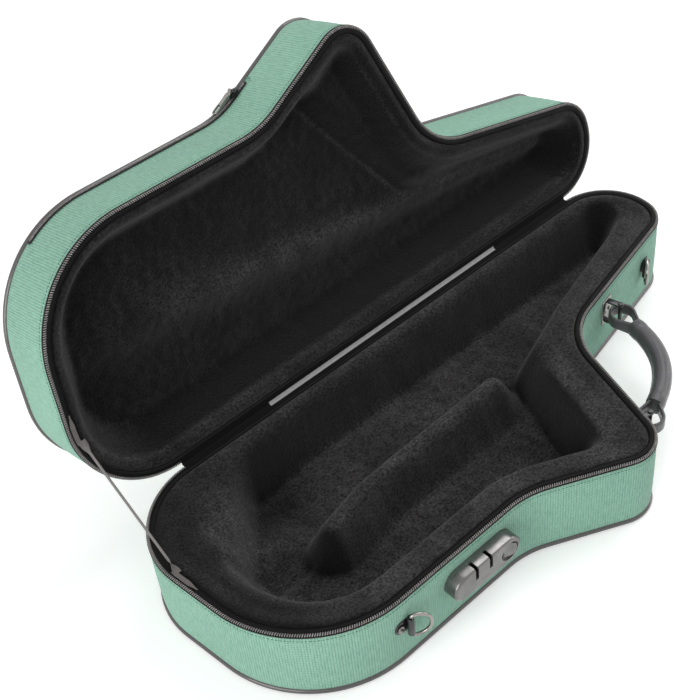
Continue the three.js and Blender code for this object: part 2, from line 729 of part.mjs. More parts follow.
// Lock for the zip pulls: they drop into the notches, and the button draws the latch aside
const lockStart = wallLength(bowFront) - lockEdge - lockLength;
const lock = (base) => {
  const frame = outlineFrame(base, alongWall(bowFront, lockStart + lockLength / 2), -lockDrop);
  const buttonPlace = (lockLength - lockHeight) / 2;
  const behind = cutOverrun + 2 * lockBevel;
  const casing = new THREE.ExtrudeGeometry(stadium(lockLength - 2 * lockBevel, lockHeight - 2 * lockBevel), {
    depth: lockDepth,
    bevelThickness: lockBevel,
    bevelSize: lockBevel,
    bevelSegments: 2,
    curveSegments: roundSides / 2,
  }).translate(0, 0, -lockBevel);
  const back = boxFrom(
    new THREE.Vector3(-lockLength / 2 - cutOverrun, -lockHeight / 2 - cutOverrun, -behind),
    new THREE.Vector3(lockLength / 2 + cutOverrun, lockHeight / 2 + cutOverrun, seatGap),
  );
  const inside = stadium(lockLength - 2 * lockWall, lockHeight - 2 * lockWall);
  const hollow = prism(inside, -behind, lockDepth - lockWall);
  const notches = notchPlaces.map((x) => boxFrom(
    new THREE.Vector3(x - notchWidth / 2, lockHeight / 2 - notchDepth, notchFloor),
    new THREE.Vector3(x + notchWidth / 2, lockHeight / 2 + cutOverrun, lockDepth + cutOverrun),
  ));
  const bore = rod(buttonRadius + buttonClearance, 2 * lockWall + cutOverrun, roundSides)
    .rotateX(Math.PI / 2).translate(buttonPlace, 0, lockDepth);
  piece(frame, 'lock_body', cut(casing, back, hollow, ...notches, bore), graphite);

  const plateRim = 2 * (lockWall + seatGap);
  const plateTop = seatGap + plateThickness;
  const plateShape = stadium(lockLength - plateRim, lockHeight - plateRim);
  piece(frame, 'lock_plate', prism(plateShape, seatGap, plateTop), steel);

  const flangeTop = lockDepth - lockWall - seatGap;
  const flangeBack = flangeTop - flangeThickness;
  const stemEnd = plateTop + buttonTravel + seatGap;
  const disc = (radius, low, high) => rod(radius, high - low, roundSides)
    .rotateX(Math.PI / 2).translate(buttonPlace, 0, (low + high) / 2);
  piece(frame, 'lock_button', join(
    disc(buttonRadius, flangeTop - flangeThickness / 2, lockDepth + buttonProud),
    disc(buttonRadius + buttonRim, flangeBack, flangeTop),
    disc(stemRadius, stemEnd, flangeTop - flangeThickness / 2),
  ), graphite);

  const [springLow, springHigh] = [plateTop + seatGap + springWire, flangeBack - seatGap - springWire];
  const coil = new THREE.Curve();
  coil.getPoint = (t) => {
    const angle = 2 * Math.PI * springTurns * t;
    const height = THREE.MathUtils.lerp(springLow, springHigh, t);
    return new THREE.Vector3(springRadius * Math.cos(angle), springRadius * Math.sin(angle), height);
  };
  const wire = new THREE.EllipseCurve(0, 0, springWire, springWire).getPoints(springSides).slice(1);
  const steps = springTurns * springStepsPerTurn;
  const spring = new THREE.ExtrudeGeometry(new THREE.Shape(wire), { extrudePath: coil, steps });
  piece(frame, 'lock_spring', spring.translate(buttonPlace, 0, 0), steel);

  const latchLow = (notchFloor + lockDepth - latchThickness) / 2;
  const latchEnd = buttonPlace - buttonRadius - buttonRim - buttonClearance;
  const latchStart = notchPlaces[0] - toothWidth;
  const bar = boxFrom(
    new THREE.Vector3(latchStart, -latchDrop - latchHeight, latchLow),
    new THREE.Vector3(latchEnd, -latchDrop, latchLow + latchThickness),
  );
  const teeth = notchPlaces.map((x) => boxFrom(
    new THREE.Vector3(x - toothWidth / 2, -latchDrop - latchHeight, latchLow),
    new THREE.Vector3(x + toothWidth / 2, -latchDrop - latchHeight + toothHeight, latchLow + latchThickness),
  ));
  piece(frame, 'lock_latch', join(bar, ...teeth), steel);
};

// Zip of the lid's outer pocket, on the lid's side wall from the bow to just past the flare
const pocketZip = (lid) => {
  const height = lidHeight - pocketEdge;
  const span = { start: alongArc(bowFront, pocketBowShare), end: alongArc(flare, 1) + pocketNeckShare };
  const tapeOut = seatGap + pocketTapeThickness;
  const coilOut = tapeOut + seatGap + pocketCoilHeight;
  const strip = (name, inset, width, finish) => {
    const section = boxSection(inset, [height - width / 2, height + width / 2]);
    piece(lid, name, band(outline, section, span), finish);
  };
  strip('pocket_zip_tape', [-tapeOut, -seatGap], pocketTapeWidth, trim);
  strip('pocket_zip_coil', [-coilOut, -tapeOut - seatGap], pocketCoilWidth, zipper);
  const frame = wallFrame(lid, flare, pocketSliderShare, height, -coilOut - seatGap);
  zipSlider(frame, 'pocket_slider', 'pocket_pull', -Math.PI / 2);
};

// Padded strap on the lid's outer face, beside the neck wall
const grabStrap = (lid) => {
  const wall = wallFrame(lid, waist, grabShare, lidHeight + seatGap, panelInset + grabEdge + grabWidth / 2);
  const frame = innerGroup(wall, 0, 0, 0);
  frame.rotation.x = -Math.PI / 2;
  const free = grabLength / 2 - grabFoot;
  const arch = (x) => grabRise * fall(free - Math.abs(x), free / 2);
  const top = [];
  const under = [];
  for (let i = 0; i <= grabSteps; i += 1) {
    const x = grabLength * (i / grabSteps - 0.5);
    under.push(new THREE.Vector2(x, arch(x)));
    top.unshift(new THREE.Vector2(x, arch(x) + grabThickness));
  }
  const strap = prism([...under, ...top], -grabWidth / 2, grabWidth / 2);
  piece(frame, 'grab_strap', strap.rotateX(Math.PI / 2), trim);
  const patchPlace = grabLength / 2 + patchOver - patchLength / 2;
  const patchHeight = grabThickness + seatGap + patchThickness / 2;
  [['neck', 1], ['bell', -1]].forEach(([end, side]) => {
    const patch = block(patchLength, grabWidth + 2 * patchOver, patchThickness);
    piece(frame, `grab_patch_${end}`, patch.translate(side * patchPlace, 0, patchHeight), leather);
  });
};

const group = new THREE.Group();
const base = innerGroup(group, 0, 0, baseHeight);
const lidHinge = innerGroup(group, 0, hingeLine, baseHeight);
lidHinge.rotation.x = -lidOpening;
const lid = innerGroup(lidHinge, 0, -hingeLine, 0);

half(base, 'base', -1, baseHeight, baseHollow);
half(lid, 'lid', 1, lidHeight, lidHollow);
const baseTab = stayTab(base, 'base', -1, stayBaseShare);
const lidTab = stayTab(lid, 'lid', 1, stayLidShare);
group.updateMatrixWorld(true);
stay(group, baseTab, lidTab);

const sliderPlace = (zipPark - sliderLength) / hingeLength;
[['neck', sliderPlace], ['bow', 1 - sliderPlace]].forEach(([end, share]) => {
  const frame = wallFrame(base, neckBack, share, -sliderDrop - sliderWidth / 2, -tapeProud - seatGap);
  zipSlider(frame, `zip_slider_${end}`, `zip_pull_${end}`, 0);
});
handle(base);
ringHolder(outlineFrame(base, alongWall(bowFront, lockStart - ringLockGap), -ringDrop), 'bow', 1);
ringHolder(wallFrame(base, waist, ringNeckShare, -ringDrop), 'neck', -1);
lock(base);
pocketZip(lid);
grabStrap(lid);

export default group;
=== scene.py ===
"""Contoured zip-round case for an alto saxophone, lying open: its finishes, cloths and fine pieces.

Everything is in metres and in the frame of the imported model: +Z up, the origin on the underside of the
base, +X towards the neck end and -Y towards the handle and the lock.
"""

import json
import logging
import math
from collections.abc import Callable, Iterator
from contextlib import contextmanager
from dataclasses import dataclass
from enum import Enum
from functools import cache

import bmesh
import bpy
import numpy as np
from mathutils import Matrix, Vector, noise


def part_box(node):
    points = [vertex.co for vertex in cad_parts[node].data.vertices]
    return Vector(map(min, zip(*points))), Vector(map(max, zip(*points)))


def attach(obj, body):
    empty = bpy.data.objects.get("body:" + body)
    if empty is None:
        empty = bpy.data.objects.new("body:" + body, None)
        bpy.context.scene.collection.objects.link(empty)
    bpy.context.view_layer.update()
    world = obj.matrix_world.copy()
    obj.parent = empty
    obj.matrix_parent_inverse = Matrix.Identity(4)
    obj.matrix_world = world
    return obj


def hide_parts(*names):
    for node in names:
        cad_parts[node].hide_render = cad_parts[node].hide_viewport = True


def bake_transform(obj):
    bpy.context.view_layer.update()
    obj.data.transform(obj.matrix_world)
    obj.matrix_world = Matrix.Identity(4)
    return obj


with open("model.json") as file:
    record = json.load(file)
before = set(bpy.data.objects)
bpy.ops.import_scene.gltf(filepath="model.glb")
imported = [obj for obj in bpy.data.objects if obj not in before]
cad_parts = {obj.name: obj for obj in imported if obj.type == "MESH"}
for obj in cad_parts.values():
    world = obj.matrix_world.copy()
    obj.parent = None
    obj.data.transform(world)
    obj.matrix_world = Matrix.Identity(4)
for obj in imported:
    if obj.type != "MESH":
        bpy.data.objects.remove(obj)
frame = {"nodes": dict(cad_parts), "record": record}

LOG = logging.getLogger("saxophone_case")
MM = 0.001
RIGHT = math.pi / 2
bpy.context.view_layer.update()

Mesh = bpy.types.Object
Socket = bpy.types.NodeSocket
Tree = bpy.types.NodeTree
Colour = tuple[float, float, float]
Span = tuple[float, float]
Line = tuple[Span, Span]


class Half(Enum):
    """The two halves of the case. The value is the name of the CAD body and the prefix of its nodes."""

    BASE = "base"
    LID = "lid"

    def piece(self, rest: str) -> str:
        """The name of one of this half's pieces or nodes."""
        return f"{self.value}_{rest}"


class End(Enum):
    """The two ends of the case, and the bell side of the handle."""

    BOW = "bow"
    NECK = "neck"
    BELL = "bell"


# Sizes of the case that its pieces share


@dataclass(frozen=True)
class Corner:
    """A place in plan, as shares of the case's length and width, and its rounding or reach."""

    along: float
    across: float
    radius: float


@dataclass(frozen=True)
class CaseSizes:
    """Overall sizes, walls and layers of the case."""

    length: float = 640 * MM
    width: float = 283 * MM
    base_height: float = 84 * MM
    lid_height: float = 75 * MM
    opening: float = math.radians(106)
    hinge_stand_off: float = 1 * MM
    zip_park: float = 72 * MM
    zip_rest: float = 60 * MM
    zip_slider_drop: float = 5.8 * MM
    zip_slider_proud: float = 1.1 * MM
    ring_lock_gap: float = 43.2 * MM
    ring_neck_share: float = 0.82
    seat: float = 0.3 * MM
    corners: tuple[Corner, ...] = (
        Corner(-0.014, 0, 82 * MM),
        Corner(0.025, 0.852, 110 * MM),
        Corner(0.416, 0.837, 88 * MM),
        Corner(0.609, 1.049, 34 * MM),
        Corner(0.689, 0.474, 67 * MM),
        Corner(0.997, 0.314, 35.5 * MM),
        Corner(1.012, 0, 55.1 * MM),
    )

    @property
    def hinge_line(self) -> float:
        """How far the hinge line lies behind the middle."""
        return self.width / 2 + self.hinge_stand_off

    def height(self, half: Half) -> float:
        """The depth of one half, from the parting plane to its outer face."""
        return self.base_height if half is Half.BASE else self.lid_height

    def matrix(self, half: Half) -> Matrix:
        """From (x, y, away from the parting plane) of one half to the row frame.

        Args:
            half: which half.

        Returns:
            The matrix. It mirrors the base, whose away axis points down.
        """
        if half is Half.BASE:
            return shift(z=self.base_height) @ Matrix.Diagonal((1, 1, -1, 1))
        hinge = shift(0, self.hinge_line, self.base_height)
        return hinge @ turned(-self.opening, "X") @ shift(y=-self.hinge_line)


def shift(x: float = 0, y: float = 0, z: float = 0) -> Matrix:
    """The matrix of a move."""
    return Matrix.Translation((x, y, z))


def turned(angle: float, axis: str) -> Matrix:
    """The matrix of a turn about an axis."""
    return Matrix.Rotation(angle, 4, axis)


def unit(vectors: np.ndarray) -> np.ndarray:
    """Vectors, one or in rows, at length one."""
    return vectors / np.linalg.norm(vectors, axis=-1, keepdims=True)


def distance_to(spots: np.ndarray, line: np.ndarray) -> np.ndarray:
    """How far each spot in plan lies from a line of straight runs.

    Args:
        spots: places, in rows.
        line: the line's points, in rows.

    Returns:
        One distance for each spot.
    """
    nearest = np.full(len(spots), np.inf)
    for start, end in zip(line, line[1:]):
        run = end - start
        share = np.clip(((spots - start) @ run) / (run @ run), 0, 1)
        nearest = np.minimum(nearest, np.linalg.norm(spots - start - share[:, None] * run, axis=1))
    return nearest


SIZES = CaseSizes()
BOW_BACK, BOW_FRONT, FLARE, BELL_TIP, WAIST, NECK_FRONT, NECK_BACK = range(7)


class Outline:
    """The outline of the case in plan, as loops of stations that can be moved in from the edge."""

    ARC_STEP = math.radians(4)
    WALL_STEP = 7 * MM
    STRETCH_STEP = 4 * MM
    LEAST_RADIUS = 0.5 * MM

    def __init__(self, sizes: CaseSizes) -> None:
        """Works out the directions and turns of the outline, and its edge.

        Args:
            sizes: the case's sizes and corners.
        """
        self.sizes = sizes
        self.radii = [corner.radius for corner in sizes.corners]
        self.points = [self.plan(corner.along, corner.across) for corner in sizes.corners]
        self.count = len(self.points)
        following = self.points[1:] + self.points[:1]
        self.directions = [unit(end - start) for start, end in zip(self.points, following)]
        self.turns = [
            math.atan2(before[0] * after[1] - before[1] * after[0], float(before @ after))
            for before, after in zip(self.directions[-1:] + self.directions, self.directions)
        ]
        self.wall_steps = [max(1, math.ceil(self.wall_length(i) / self.WALL_STEP)) for i in range(self.count)]
        edge = self.loop(0)
        self.closed = np.concatenate([edge, edge[:1]])
        self.travel = np.concatenate([[0], np.cumsum(np.linalg.norm(np.diff(self.closed, axis=0), axis=1))])
        tangents = unit(np.roll(edge, -1, axis=0) - np.roll(edge, 1, axis=0))
        self.tangents = np.concatenate([tangents, tangents[:1]])

    @staticmethod
    def _inwards(direction: np.ndarray) -> np.ndarray:
        """The direction that points into the case from an edge."""
        return np.array([-direction[1], direction[0]])

    def plan(self, along: float, across: float) -> np.ndarray:
        """A place in plan from shares of the length and the width."""
        return np.array([(along - 0.5) * self.sizes.length, (0.5 - across) * self.sizes.width])

    def arc(self, index: int, inset: float = 0) -> np.ndarray:
        """The stations of one rounded corner.

        Args:
            index: the corner.
            inset: how far the edge moves in.

        Returns:
            Its points, in rows.
        """
        turn = self.turns[index]
        side = math.copysign(1, turn)
        radius = max(self.radii[index] - side * inset, self.LEAST_RADIUS)
        before, after = (self._inwards(self.directions[i]) for i in (index - 1, index))
        centre = self.points[index] + unit(before + after) * (inset + side * radius) / math.cos(turn / 2)
        start = before * (-side * radius)
        steps = math.ceil(abs(turn) / self.ARC_STEP)
        angles = turn * np.arange(steps + 1) / steps
        cos, sin = np.cos(angles), np.sin(angles)
        return np.stack([cos * start[0] - sin * start[1], sin * start[0] + cos * start[1]], axis=1) + centre

    def wall_length(self, index: int) -> float:
        """The straight length of the wall that starts at a corner."""
        return float(np.linalg.norm(self.arc((index + 1) % self.count)[0] - self.arc(index)[-1]))

    def loop(self, inset: float) -> np.ndarray:
        """All stations, anticlockwise from the bow's back corner.

        Args:
            inset: how far the edge moves in.

        Returns:
            The points, in rows.
        """
        parts = []
        for index, steps in enumerate(self.wall_steps):
            arc = self.arc(index, inset)
            following = self.arc((index + 1) % self.count, inset)[0]
            shares = np.arange(1, steps)[:, None] / steps
            parts += [arc, arc[-1] + shares * (following - arc[-1])]
        return np.concatenate(parts)

    def ring(self, inset: float, away: float) -> np.ndarray:
        """All stations moved in, at one depth from the parting plane."""
        return np.pad(self.loop(inset), ((0, 0), (0, 1)), constant_values=away)

    def station(self, travel: float) -> tuple[np.ndarray, np.ndarray]:
        """The place this far along the edge, and the direction along it there.

        Args:
            travel: how far along, which may be below zero.

        Returns:
            The place and the direction, in plan.
        """
        travel = travel % self.travel[-1]
        low = int(np.searchsorted(self.travel, travel, side="right")) - 1
        start, end = self.closed[low], self.closed[low + 1]
        share = (travel - self.travel[low]) / (self.travel[low + 1] - self.travel[low])
        return start + share * (end - start), unit(end - start)

    def corner_travel(self, index: int, share: float = 0) -> float:
        """How far along the edge a share of a corner's arc lies."""
        before = sum(len(self.arc(i)) + self.wall_steps[i] - 1 for i in range(index))
        return float(self.travel[before] + share * self.radii[index] * abs(self.turns[index]))

    def wall_travel(self, index: int, share: float) -> float:
        """How far along the edge a share of a corner's following wall lies."""
        return self.corner_travel(index, 1) + share * self.wall_length(index)

    def nearest_travel(self, spot: np.ndarray) -> float:
        """How far along the edge the station nearest to a spot lies."""
        return float(self.travel[int(np.argmin(np.linalg.norm(self.closed[:-1] - spot, axis=1)))])

    def stretch(self, start: float, end: float) -> np.ndarray:
        """Evenly spaced travels over an open stretch of the edge."""
        return np.linspace(start, end, max(2, math.ceil((end - start) / self.STRETCH_STEP)) + 1)

    def places(self, travels: np.ndarray, inset: np.ndarray | float = 0) -> np.ndarray:
        """Points of the edge at these travels, each moved in by its inset.

        Args:
            travels: how far along the edge.
            inset: one inset, or one for each point.

        Returns:
            The points, in rows.
        """
        wrapped = np.mod(travels, self.travel[-1])
        spot, along = (
            np.stack([np.interp(wrapped, self.travel, rows[:, k]) for k in (0, 1)], axis=1)
            for rows in (self.closed, self.tangents)
        )
        along = unit(along)
        inwards = np.stack([-along[:, 1], along[:, 0]], axis=1)
        return spot + inwards * np.reshape(inset, (-1, 1))


OUTLINE = Outline(SIZES)


def placed(half: Half, plan: np.ndarray, away: np.ndarray | float) -> np.ndarray:
    """Points of one half in the row frame.

    Args:
        half: which half.
        plan: plan places, in rows.
        away: how far each lies from the parting plane.

    Returns:
        The points, in rows.
    """
    heights = np.broadcast_to(np.asarray(away, float), (len(plan),))
    local = np.concatenate([plan, heights[:, None], np.ones((len(plan), 1))], axis=1)
    return (local @ np.array(SIZES.matrix(half)).T)[:, :3]


def frame_at(half: Half, travel: float, away: float, proud: float = 0) -> Matrix:
    """A frame on a side wall: X runs along it anticlockwise, Z points out of the wall and Y completes them.

    Args:
        half: which half.
        travel: how far along the edge.
        away: how far from the parting plane.
        proud: how far out of the wall its origin stands.

    Returns:
        The matrix in the row frame.
    """
    spot, along = OUTLINE.station(travel)
    out = np.array([along[1], -along[0]])
    spot = spot + out * proud
    upwards = -1 if half is Half.BASE else 1
    plan = Matrix((
        (along[0], 0, out[0], spot[0]),
        (along[1], 0, out[1], spot[1]),
        (0, upwards, 0, away),
        (0, 0, 0, 1),
    ))
    return SIZES.matrix(half) @ plan


def fall(distance: np.ndarray | float, slope: float) -> np.ndarray:
    """A soft step from 0 to 1 over a slope's width."""
    share = np.clip(distance / slope, 0, 1)
    return share * share * (3 - 2 * share)


def turn_round(steps: int) -> list[float]:
    """The angles of a full turn in even steps."""
    return [2 * math.pi * step / steps for step in range(steps)]


def winding(start: float, end: float, pitch: float, steps: int = 8) -> tuple[np.ndarray, np.ndarray]:
    """A coil between two travels of the edge.

    Args:
        start: travel of its start.
        end: travel of its end.
        pitch: the length of a turn, about.
        steps: stations to a turn.

    Returns:
        The travel and the angle of each station.
    """
    turns = round((end - start) / pitch)
    shares = np.arange(turns * steps + 1) / (turns * steps)
    return start + shares * (end - start), 2 * np.pi * shares * turns


# Modelling by hand


def deselect() -> None:
    """Back to object mode with nothing selected."""
    if bpy.context.mode != "OBJECT":
        bpy.ops.object.mode_set(mode="OBJECT")
    bpy.ops.object.select_all(action="DESELECT")


def only(obj: Mesh) -> Mesh:
    """Selects one object and makes it active."""
    deselect()
    obj.select_set(True)
    bpy.context.view_layer.objects.active = obj
    return obj


@contextmanager
def editing(obj: Mesh, action: str = "SELECT") -> Iterator[None]:
    """Edit mode on one object, and object mode again afterwards.

    Args:
        obj: the object.
        action: SELECT or DESELECT, for all of it at the start.

    Yields:
        Nothing.
    """
    only(obj)
    bpy.ops.object.mode_set(mode="EDIT")
    bpy.ops.mesh.select_mode(type="VERT")
    bpy.ops.mesh.select_all(action=action)
    yield
    bpy.ops.object.mode_set(mode="OBJECT")


def named(name: str) -> Mesh:
    """Names the active object and its mesh."""
    obj = bpy.context.object
    obj.name = obj.data.name = name
    return obj


def apply_modifier(obj: Mesh, kind: str, **settings: object) -> Mesh:
    """Adds a modifier, sets it and applies it.

    Args:
        obj: the mesh.
        kind: the modifier's type.
        settings: its properties.

    Returns:
        The same object.
    """
    only(obj)
    modifier = obj.modifiers.new(kind.title(), kind)
    for key, value in settings.items():
        setattr(modifier, key, value)
    bpy.ops.object.modifier_apply(modifier=modifier.name)
    return obj


def clean(obj: Mesh, merge: float = 1e-6) -> Mesh:
    """Merges doubles and turns the faces of a closed mesh outwards."""
    with editing(obj):
        bpy.ops.mesh.remove_doubles(threshold=merge)
        bpy.ops.mesh.normals_make_consistent(inside=False)
    return obj


def filled(obj: Mesh) -> Mesh:
    """Fills the open rims of a mesh and cleans it."""
    with editing(obj, "DESELECT"):
        bpy.ops.mesh.select_non_manifold()
        bpy.ops.mesh.fill_holes(sides=0)
    return clean(obj)


def smooth(obj: Mesh, angle: float) -> Mesh:
    """Smooth shading, with edges sharper than this angle in degrees left crisp."""
    only(obj)
    bpy.ops.object.shade_smooth_by_angle(angle=math.radians(angle))
    return obj


def set_at(obj: Mesh, matrix: Matrix) -> Mesh:
    """Moves the points of a mesh, and leaves its object where it is."""
    obj.data.transform(matrix)
    return obj


def moved(obj: Mesh, matrix: Matrix) -> Mesh:
    """Takes a mesh to its place, and leaves its object at the origin."""
    set_at(obj, matrix).matrix_world = Matrix.Identity(4)
    return clean(obj) if matrix.determinant() < 0 else obj


def boolean(obj: Mesh, cutter: Mesh, operation: str = "DIFFERENCE") -> Mesh:
    """Cuts or joins with another mesh, which is used up.

    Args:
        obj: the mesh that stays.
        cutter: the mesh that is used up.
        operation: DIFFERENCE, UNION or INTERSECT.

    Returns:
        The first object.
    """
    apply_modifier(obj, "BOOLEAN", object=cutter, operation=operation, solver="EXACT")
    bpy.data.objects.remove(cutter)
    return obj


def joined(name: str, parts: list[Mesh]) -> Mesh:
    """Joins meshes into one object."""
    deselect()
    for part in parts:
        part.select_set(True)
    bpy.context.view_layer.objects.active = parts[0]
    if len(parts) > 1:
        bpy.ops.object.join()
    return named(name)


def cube(size: tuple[float, float, float], centre: tuple[float, float, float], bevel: float = 0,
         segments: int = 3) -> Mesh:
    """A box with rounded edges.

    Args:
        size: its three lengths.
        centre: its middle.
        bevel: the radius of its edges, or 0.
        segments: faces across a rounded edge.

    Returns:
        The object, its place in its mesh.
    """
    deselect()
    bpy.ops.mesh.primitive_cube_add(size=1)
    obj = set_at(bpy.context.object, shift(*centre) @ Matrix.Diagonal((*size, 1)))
    if bevel:
        with editing(obj):
            bpy.ops.mesh.bevel(offset=bevel, segments=segments, affect="EDGES")
    return obj


def disc(radius: float, low: float, high: float, at: Span = (0, 0), bevel: float = 0, sides: int = 48,
         stretch: float = 0, segments: int = 3) -> Mesh:
    """An upright round slug with rounded rims.

    Args:
        radius: its radius.
        low: height of its lower face.
        high: height of its upper face.
        at: its axis.
        bevel: the radius of its rims, or 0.
        sides: faces round it.
        stretch: how far its two sides are drawn apart in X.
        segments: faces across a rounded rim.

    Returns:
        The object, its place in its mesh.
    """
    deselect()
    bpy.ops.mesh.primitive_cylinder_add(vertices=sides, radius=radius, depth=high - low)
    obj = bpy.context.object
    for vertex in obj.data.vertices:
        vertex.co.x += math.copysign(stretch, vertex.co.x)
    set_at(obj, shift(*at, (low + high) / 2))
    if bevel:
        with editing(obj, "DESELECT"):
            for edge in bmesh.from_edit_mesh(obj.data).edges:
                edge.select_set(abs(edge.verts[0].co.z - edge.verts[1].co.z) < 1e-7)
            bmesh.update_edit_mesh(obj.data)
            bpy.ops.mesh.bevel(offset=bevel, segments=segments, affect="EDGES")
    return obj


def stadium(length: float, height: float, low: float, high: float, bevel: float = 0,
            segments: int = 4) -> Mesh:
    """A slug with straight sides and round ends, long in X and as high in Y as its height says."""
    return disc(height / 2, low, high, (0, 0), bevel, 64, (length - height) / 2, segments)


def grown(name: str, rings: list[np.ndarray], loop_closed: bool = True, section_closed: bool = True,
          travel: np.ndarray | None = None) -> Mesh:
    """Grows a surface ring by ring from a circle, each ring extruded from the one before.

    Args:
        name: the piece's name.
        rings: point rows, all as long, in the row frame.
        loop_closed: whether each ring closes on itself.
        section_closed: whether the last ring joins the first.
        travel: how far along each station lies, for the cloth's own map.

    Returns:
        The object, with a UV map in metres: along the rings, and across them.
    """
    count = len(rings[0])
    deselect()
    bpy.ops.mesh.primitive_circle_add(vertices=count, fill_type="NOTHING")
    obj = named(name)
    following = rings[1:] + ([rings[0]] if section_closed else [])
    with editing(obj):
        shape = bmesh.from_edit_mesh(obj.data)
        shape.verts.ensure_lookup_table()
        station = shape.verts.layers.int.new("station")
        shape.verts.layers.int.new("level")
        for index, vertex in enumerate(shape.verts):
            vertex[station] = index
            vertex.co = rings[0][index]
        if not loop_closed:
            closing = [edge for edge in shape.edges if {v[station] for v in edge.verts} == {0, count - 1}]
            bmesh.ops.delete(shape, geom=closing, context="EDGES")
            for item in (*shape.verts, *shape.edges):
                item.select_set(True)
        bmesh.update_edit_mesh(obj.data)
        for number, ring in enumerate(following, start=1):
            bpy.ops.mesh.extrude_edges_indiv()
            shape = bmesh.from_edit_mesh(obj.data)
            station, level = (shape.verts.layers.int[key] for key in ("station", "level"))
            for vertex in shape.verts:
                if vertex.select:
                    vertex.co = ring[vertex[station]]
                    vertex[level] = number
            bmesh.update_edit_mesh(obj.data)
        _map_rings(obj, [rings[0], *following], loop_closed, travel)
    if not loop_closed and section_closed:
        _cap_ends(obj, count)
    for layer in ("station", "level"):
        obj.data.attributes.remove(obj.data.attributes[layer])
    return clean(obj)


def _map_rings(obj: Mesh, rings: list[np.ndarray], loop_closed: bool, travel: np.ndarray | None) -> None:
    """Lays a UV map in metres on a grown surface.

    Args:
        obj: the surface, in edit mode.
        rings: its point rows, in order.
        loop_closed: whether each ring closes on itself.
        travel: how far along each station lies, or None to measure the first ring.
    """
    count = len(rings[0])
    if travel is None:
        steps = np.linalg.norm(np.roll(rings[0], -1, axis=0) - rings[0], axis=1)
        travel = np.concatenate([[0], np.cumsum(steps)])
    gaps = [float(np.linalg.norm(after - before, axis=1).mean()) for before, after in zip(rings, rings[1:])]
    levels = np.concatenate([[0], np.cumsum(gaps)])
    shape = bmesh.from_edit_mesh(obj.data)
    station, level = (shape.verts.layers.int[key] for key in ("station", "level"))
    sheet = shape.loops.layers.uv.verify()
    for face in shape.faces:
        wraps = loop_closed and {0, count - 1} <= {v[station] for v in face.verts}
        for corner in face.loops:
            place = corner.vert[station]
            corner[sheet].uv = (travel[count if wraps and place == 0 else place], levels[corner.vert[level]])
    bmesh.update_edit_mesh(obj.data)


def _cap_ends(obj: Mesh, count: int) -> None:
    """Closes the two open ends of a grown bar.

    Args:
        obj: the bar.
        count: how many stations it has.
    """
    clean(obj)
    for end in (0, count - 1):
        with editing(obj, "DESELECT"):
            shape = bmesh.from_edit_mesh(obj.data)
            station = shape.verts.layers.int["station"]
            for vertex in shape.verts:
                vertex.select_set(vertex[station] == end)
            shape.select_flush(True)
            bmesh.update_edit_mesh(obj.data)
            bpy.ops.mesh.edge_face_add()


# A bar's section with rounded edges, from -1 to 1 through its thickness and across its width
ROUND_BAR = ((-1, -0.84), (-0.72, -0.95), (-0.3, -1), (0.3, -1), (0.72, -0.95), (1, -0.84),
             (1, -0.3), (1, 0.3), (1, 0.84), (0.72, 0.95), (0.3, 1), (-0.3, 1), (-0.72, 0.95), (-1, 0.84),
             (-1, 0.3), (-1, -0.3))


def tube(name: str, sections: list[np.ndarray]) -> Mesh:
    """A closed bar grown through its cross sections, with both ends filled."""
    return filled(grown(name, sections, section_closed=False))


def linked(name: str, data: bpy.types.ID) -> Mesh:
    """A new object in the scene, active and alone selected."""
    obj = bpy.data.objects.new(name, data)
    bpy.context.scene.collection.objects.link(obj)
    return obj


def wire(name: str, points: np.ndarray, radius: float, sides: int = 8, cyclic: bool = False) -> Mesh:
    """A round wire along points, as a mesh.

    Args:
        name: the piece's name.
        points: its centreline, in rows.
        radius: the wire's radius.
        sides: faces round it, an even number.
        cyclic: whether it closes.

    Returns:
        The mesh object.
    """
    curve = bpy.data.curves.new(name, "CURVE")
    curve.dimensions = "3D"
    curve.bevel_depth = radius
    curve.bevel_resolution = max(0, sides // 2 - 2)
    curve.use_fill_caps = not cyclic
    spline = curve.splines.new("POLY")
    spline.points.add(len(points) - 1)
    spline.points.foreach_set("co", np.pad(points, ((0, 0), (0, 1)), constant_values=1).ravel())
    spline.use_cyclic_u = cyclic
    only(linked(name, curve))
    bpy.ops.object.convert(target="MESH")
    return named(name)


def stitched(name: str, size: tuple[float, float, float], matrices: list[Matrix], segments: int = 8,
             rings: int = 5) -> Mesh:
    """Many copies of one small rounded stitch in one object.

    Args:
        name: the piece's name.
        size: half its length, breadth and height.
        matrices: where each stitch lies.
        segments: faces round the stitch.
        rings: faces along it.

    Returns:
        The object.
    """
    deselect()
    bpy.ops.mesh.primitive_uv_sphere_add(segments=segments, ring_count=rings, radius=1)
    model = set_at(bpy.context.object, Matrix.Diagonal((*size, 1)))
    corners = np.array([v.co for v in model.data.vertices], float)
    faces = [list(polygon.vertices) for polygon in model.data.polygons]
    spins = [np.array(matrix) for matrix in matrices]
    points = np.concatenate([corners @ spin[:3, :3].T + spin[:3, 3] for spin in spins])
    starts = np.arange(len(spins)) * len(corners)
    polygons = [[index + int(start) for index in face] for start in starts for face in faces]
    mesh = bpy.data.meshes.new(name)
    mesh.from_pydata(points.tolist(), [], polygons)
    mesh.update()
    bpy.data.objects.remove(model)
    return linked(name, mesh)


def node_middle(name: str) -> Vector:
    """The middle of a CAD node's box."""
    low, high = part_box(name)
    return (low + high) / 2


# Finishes


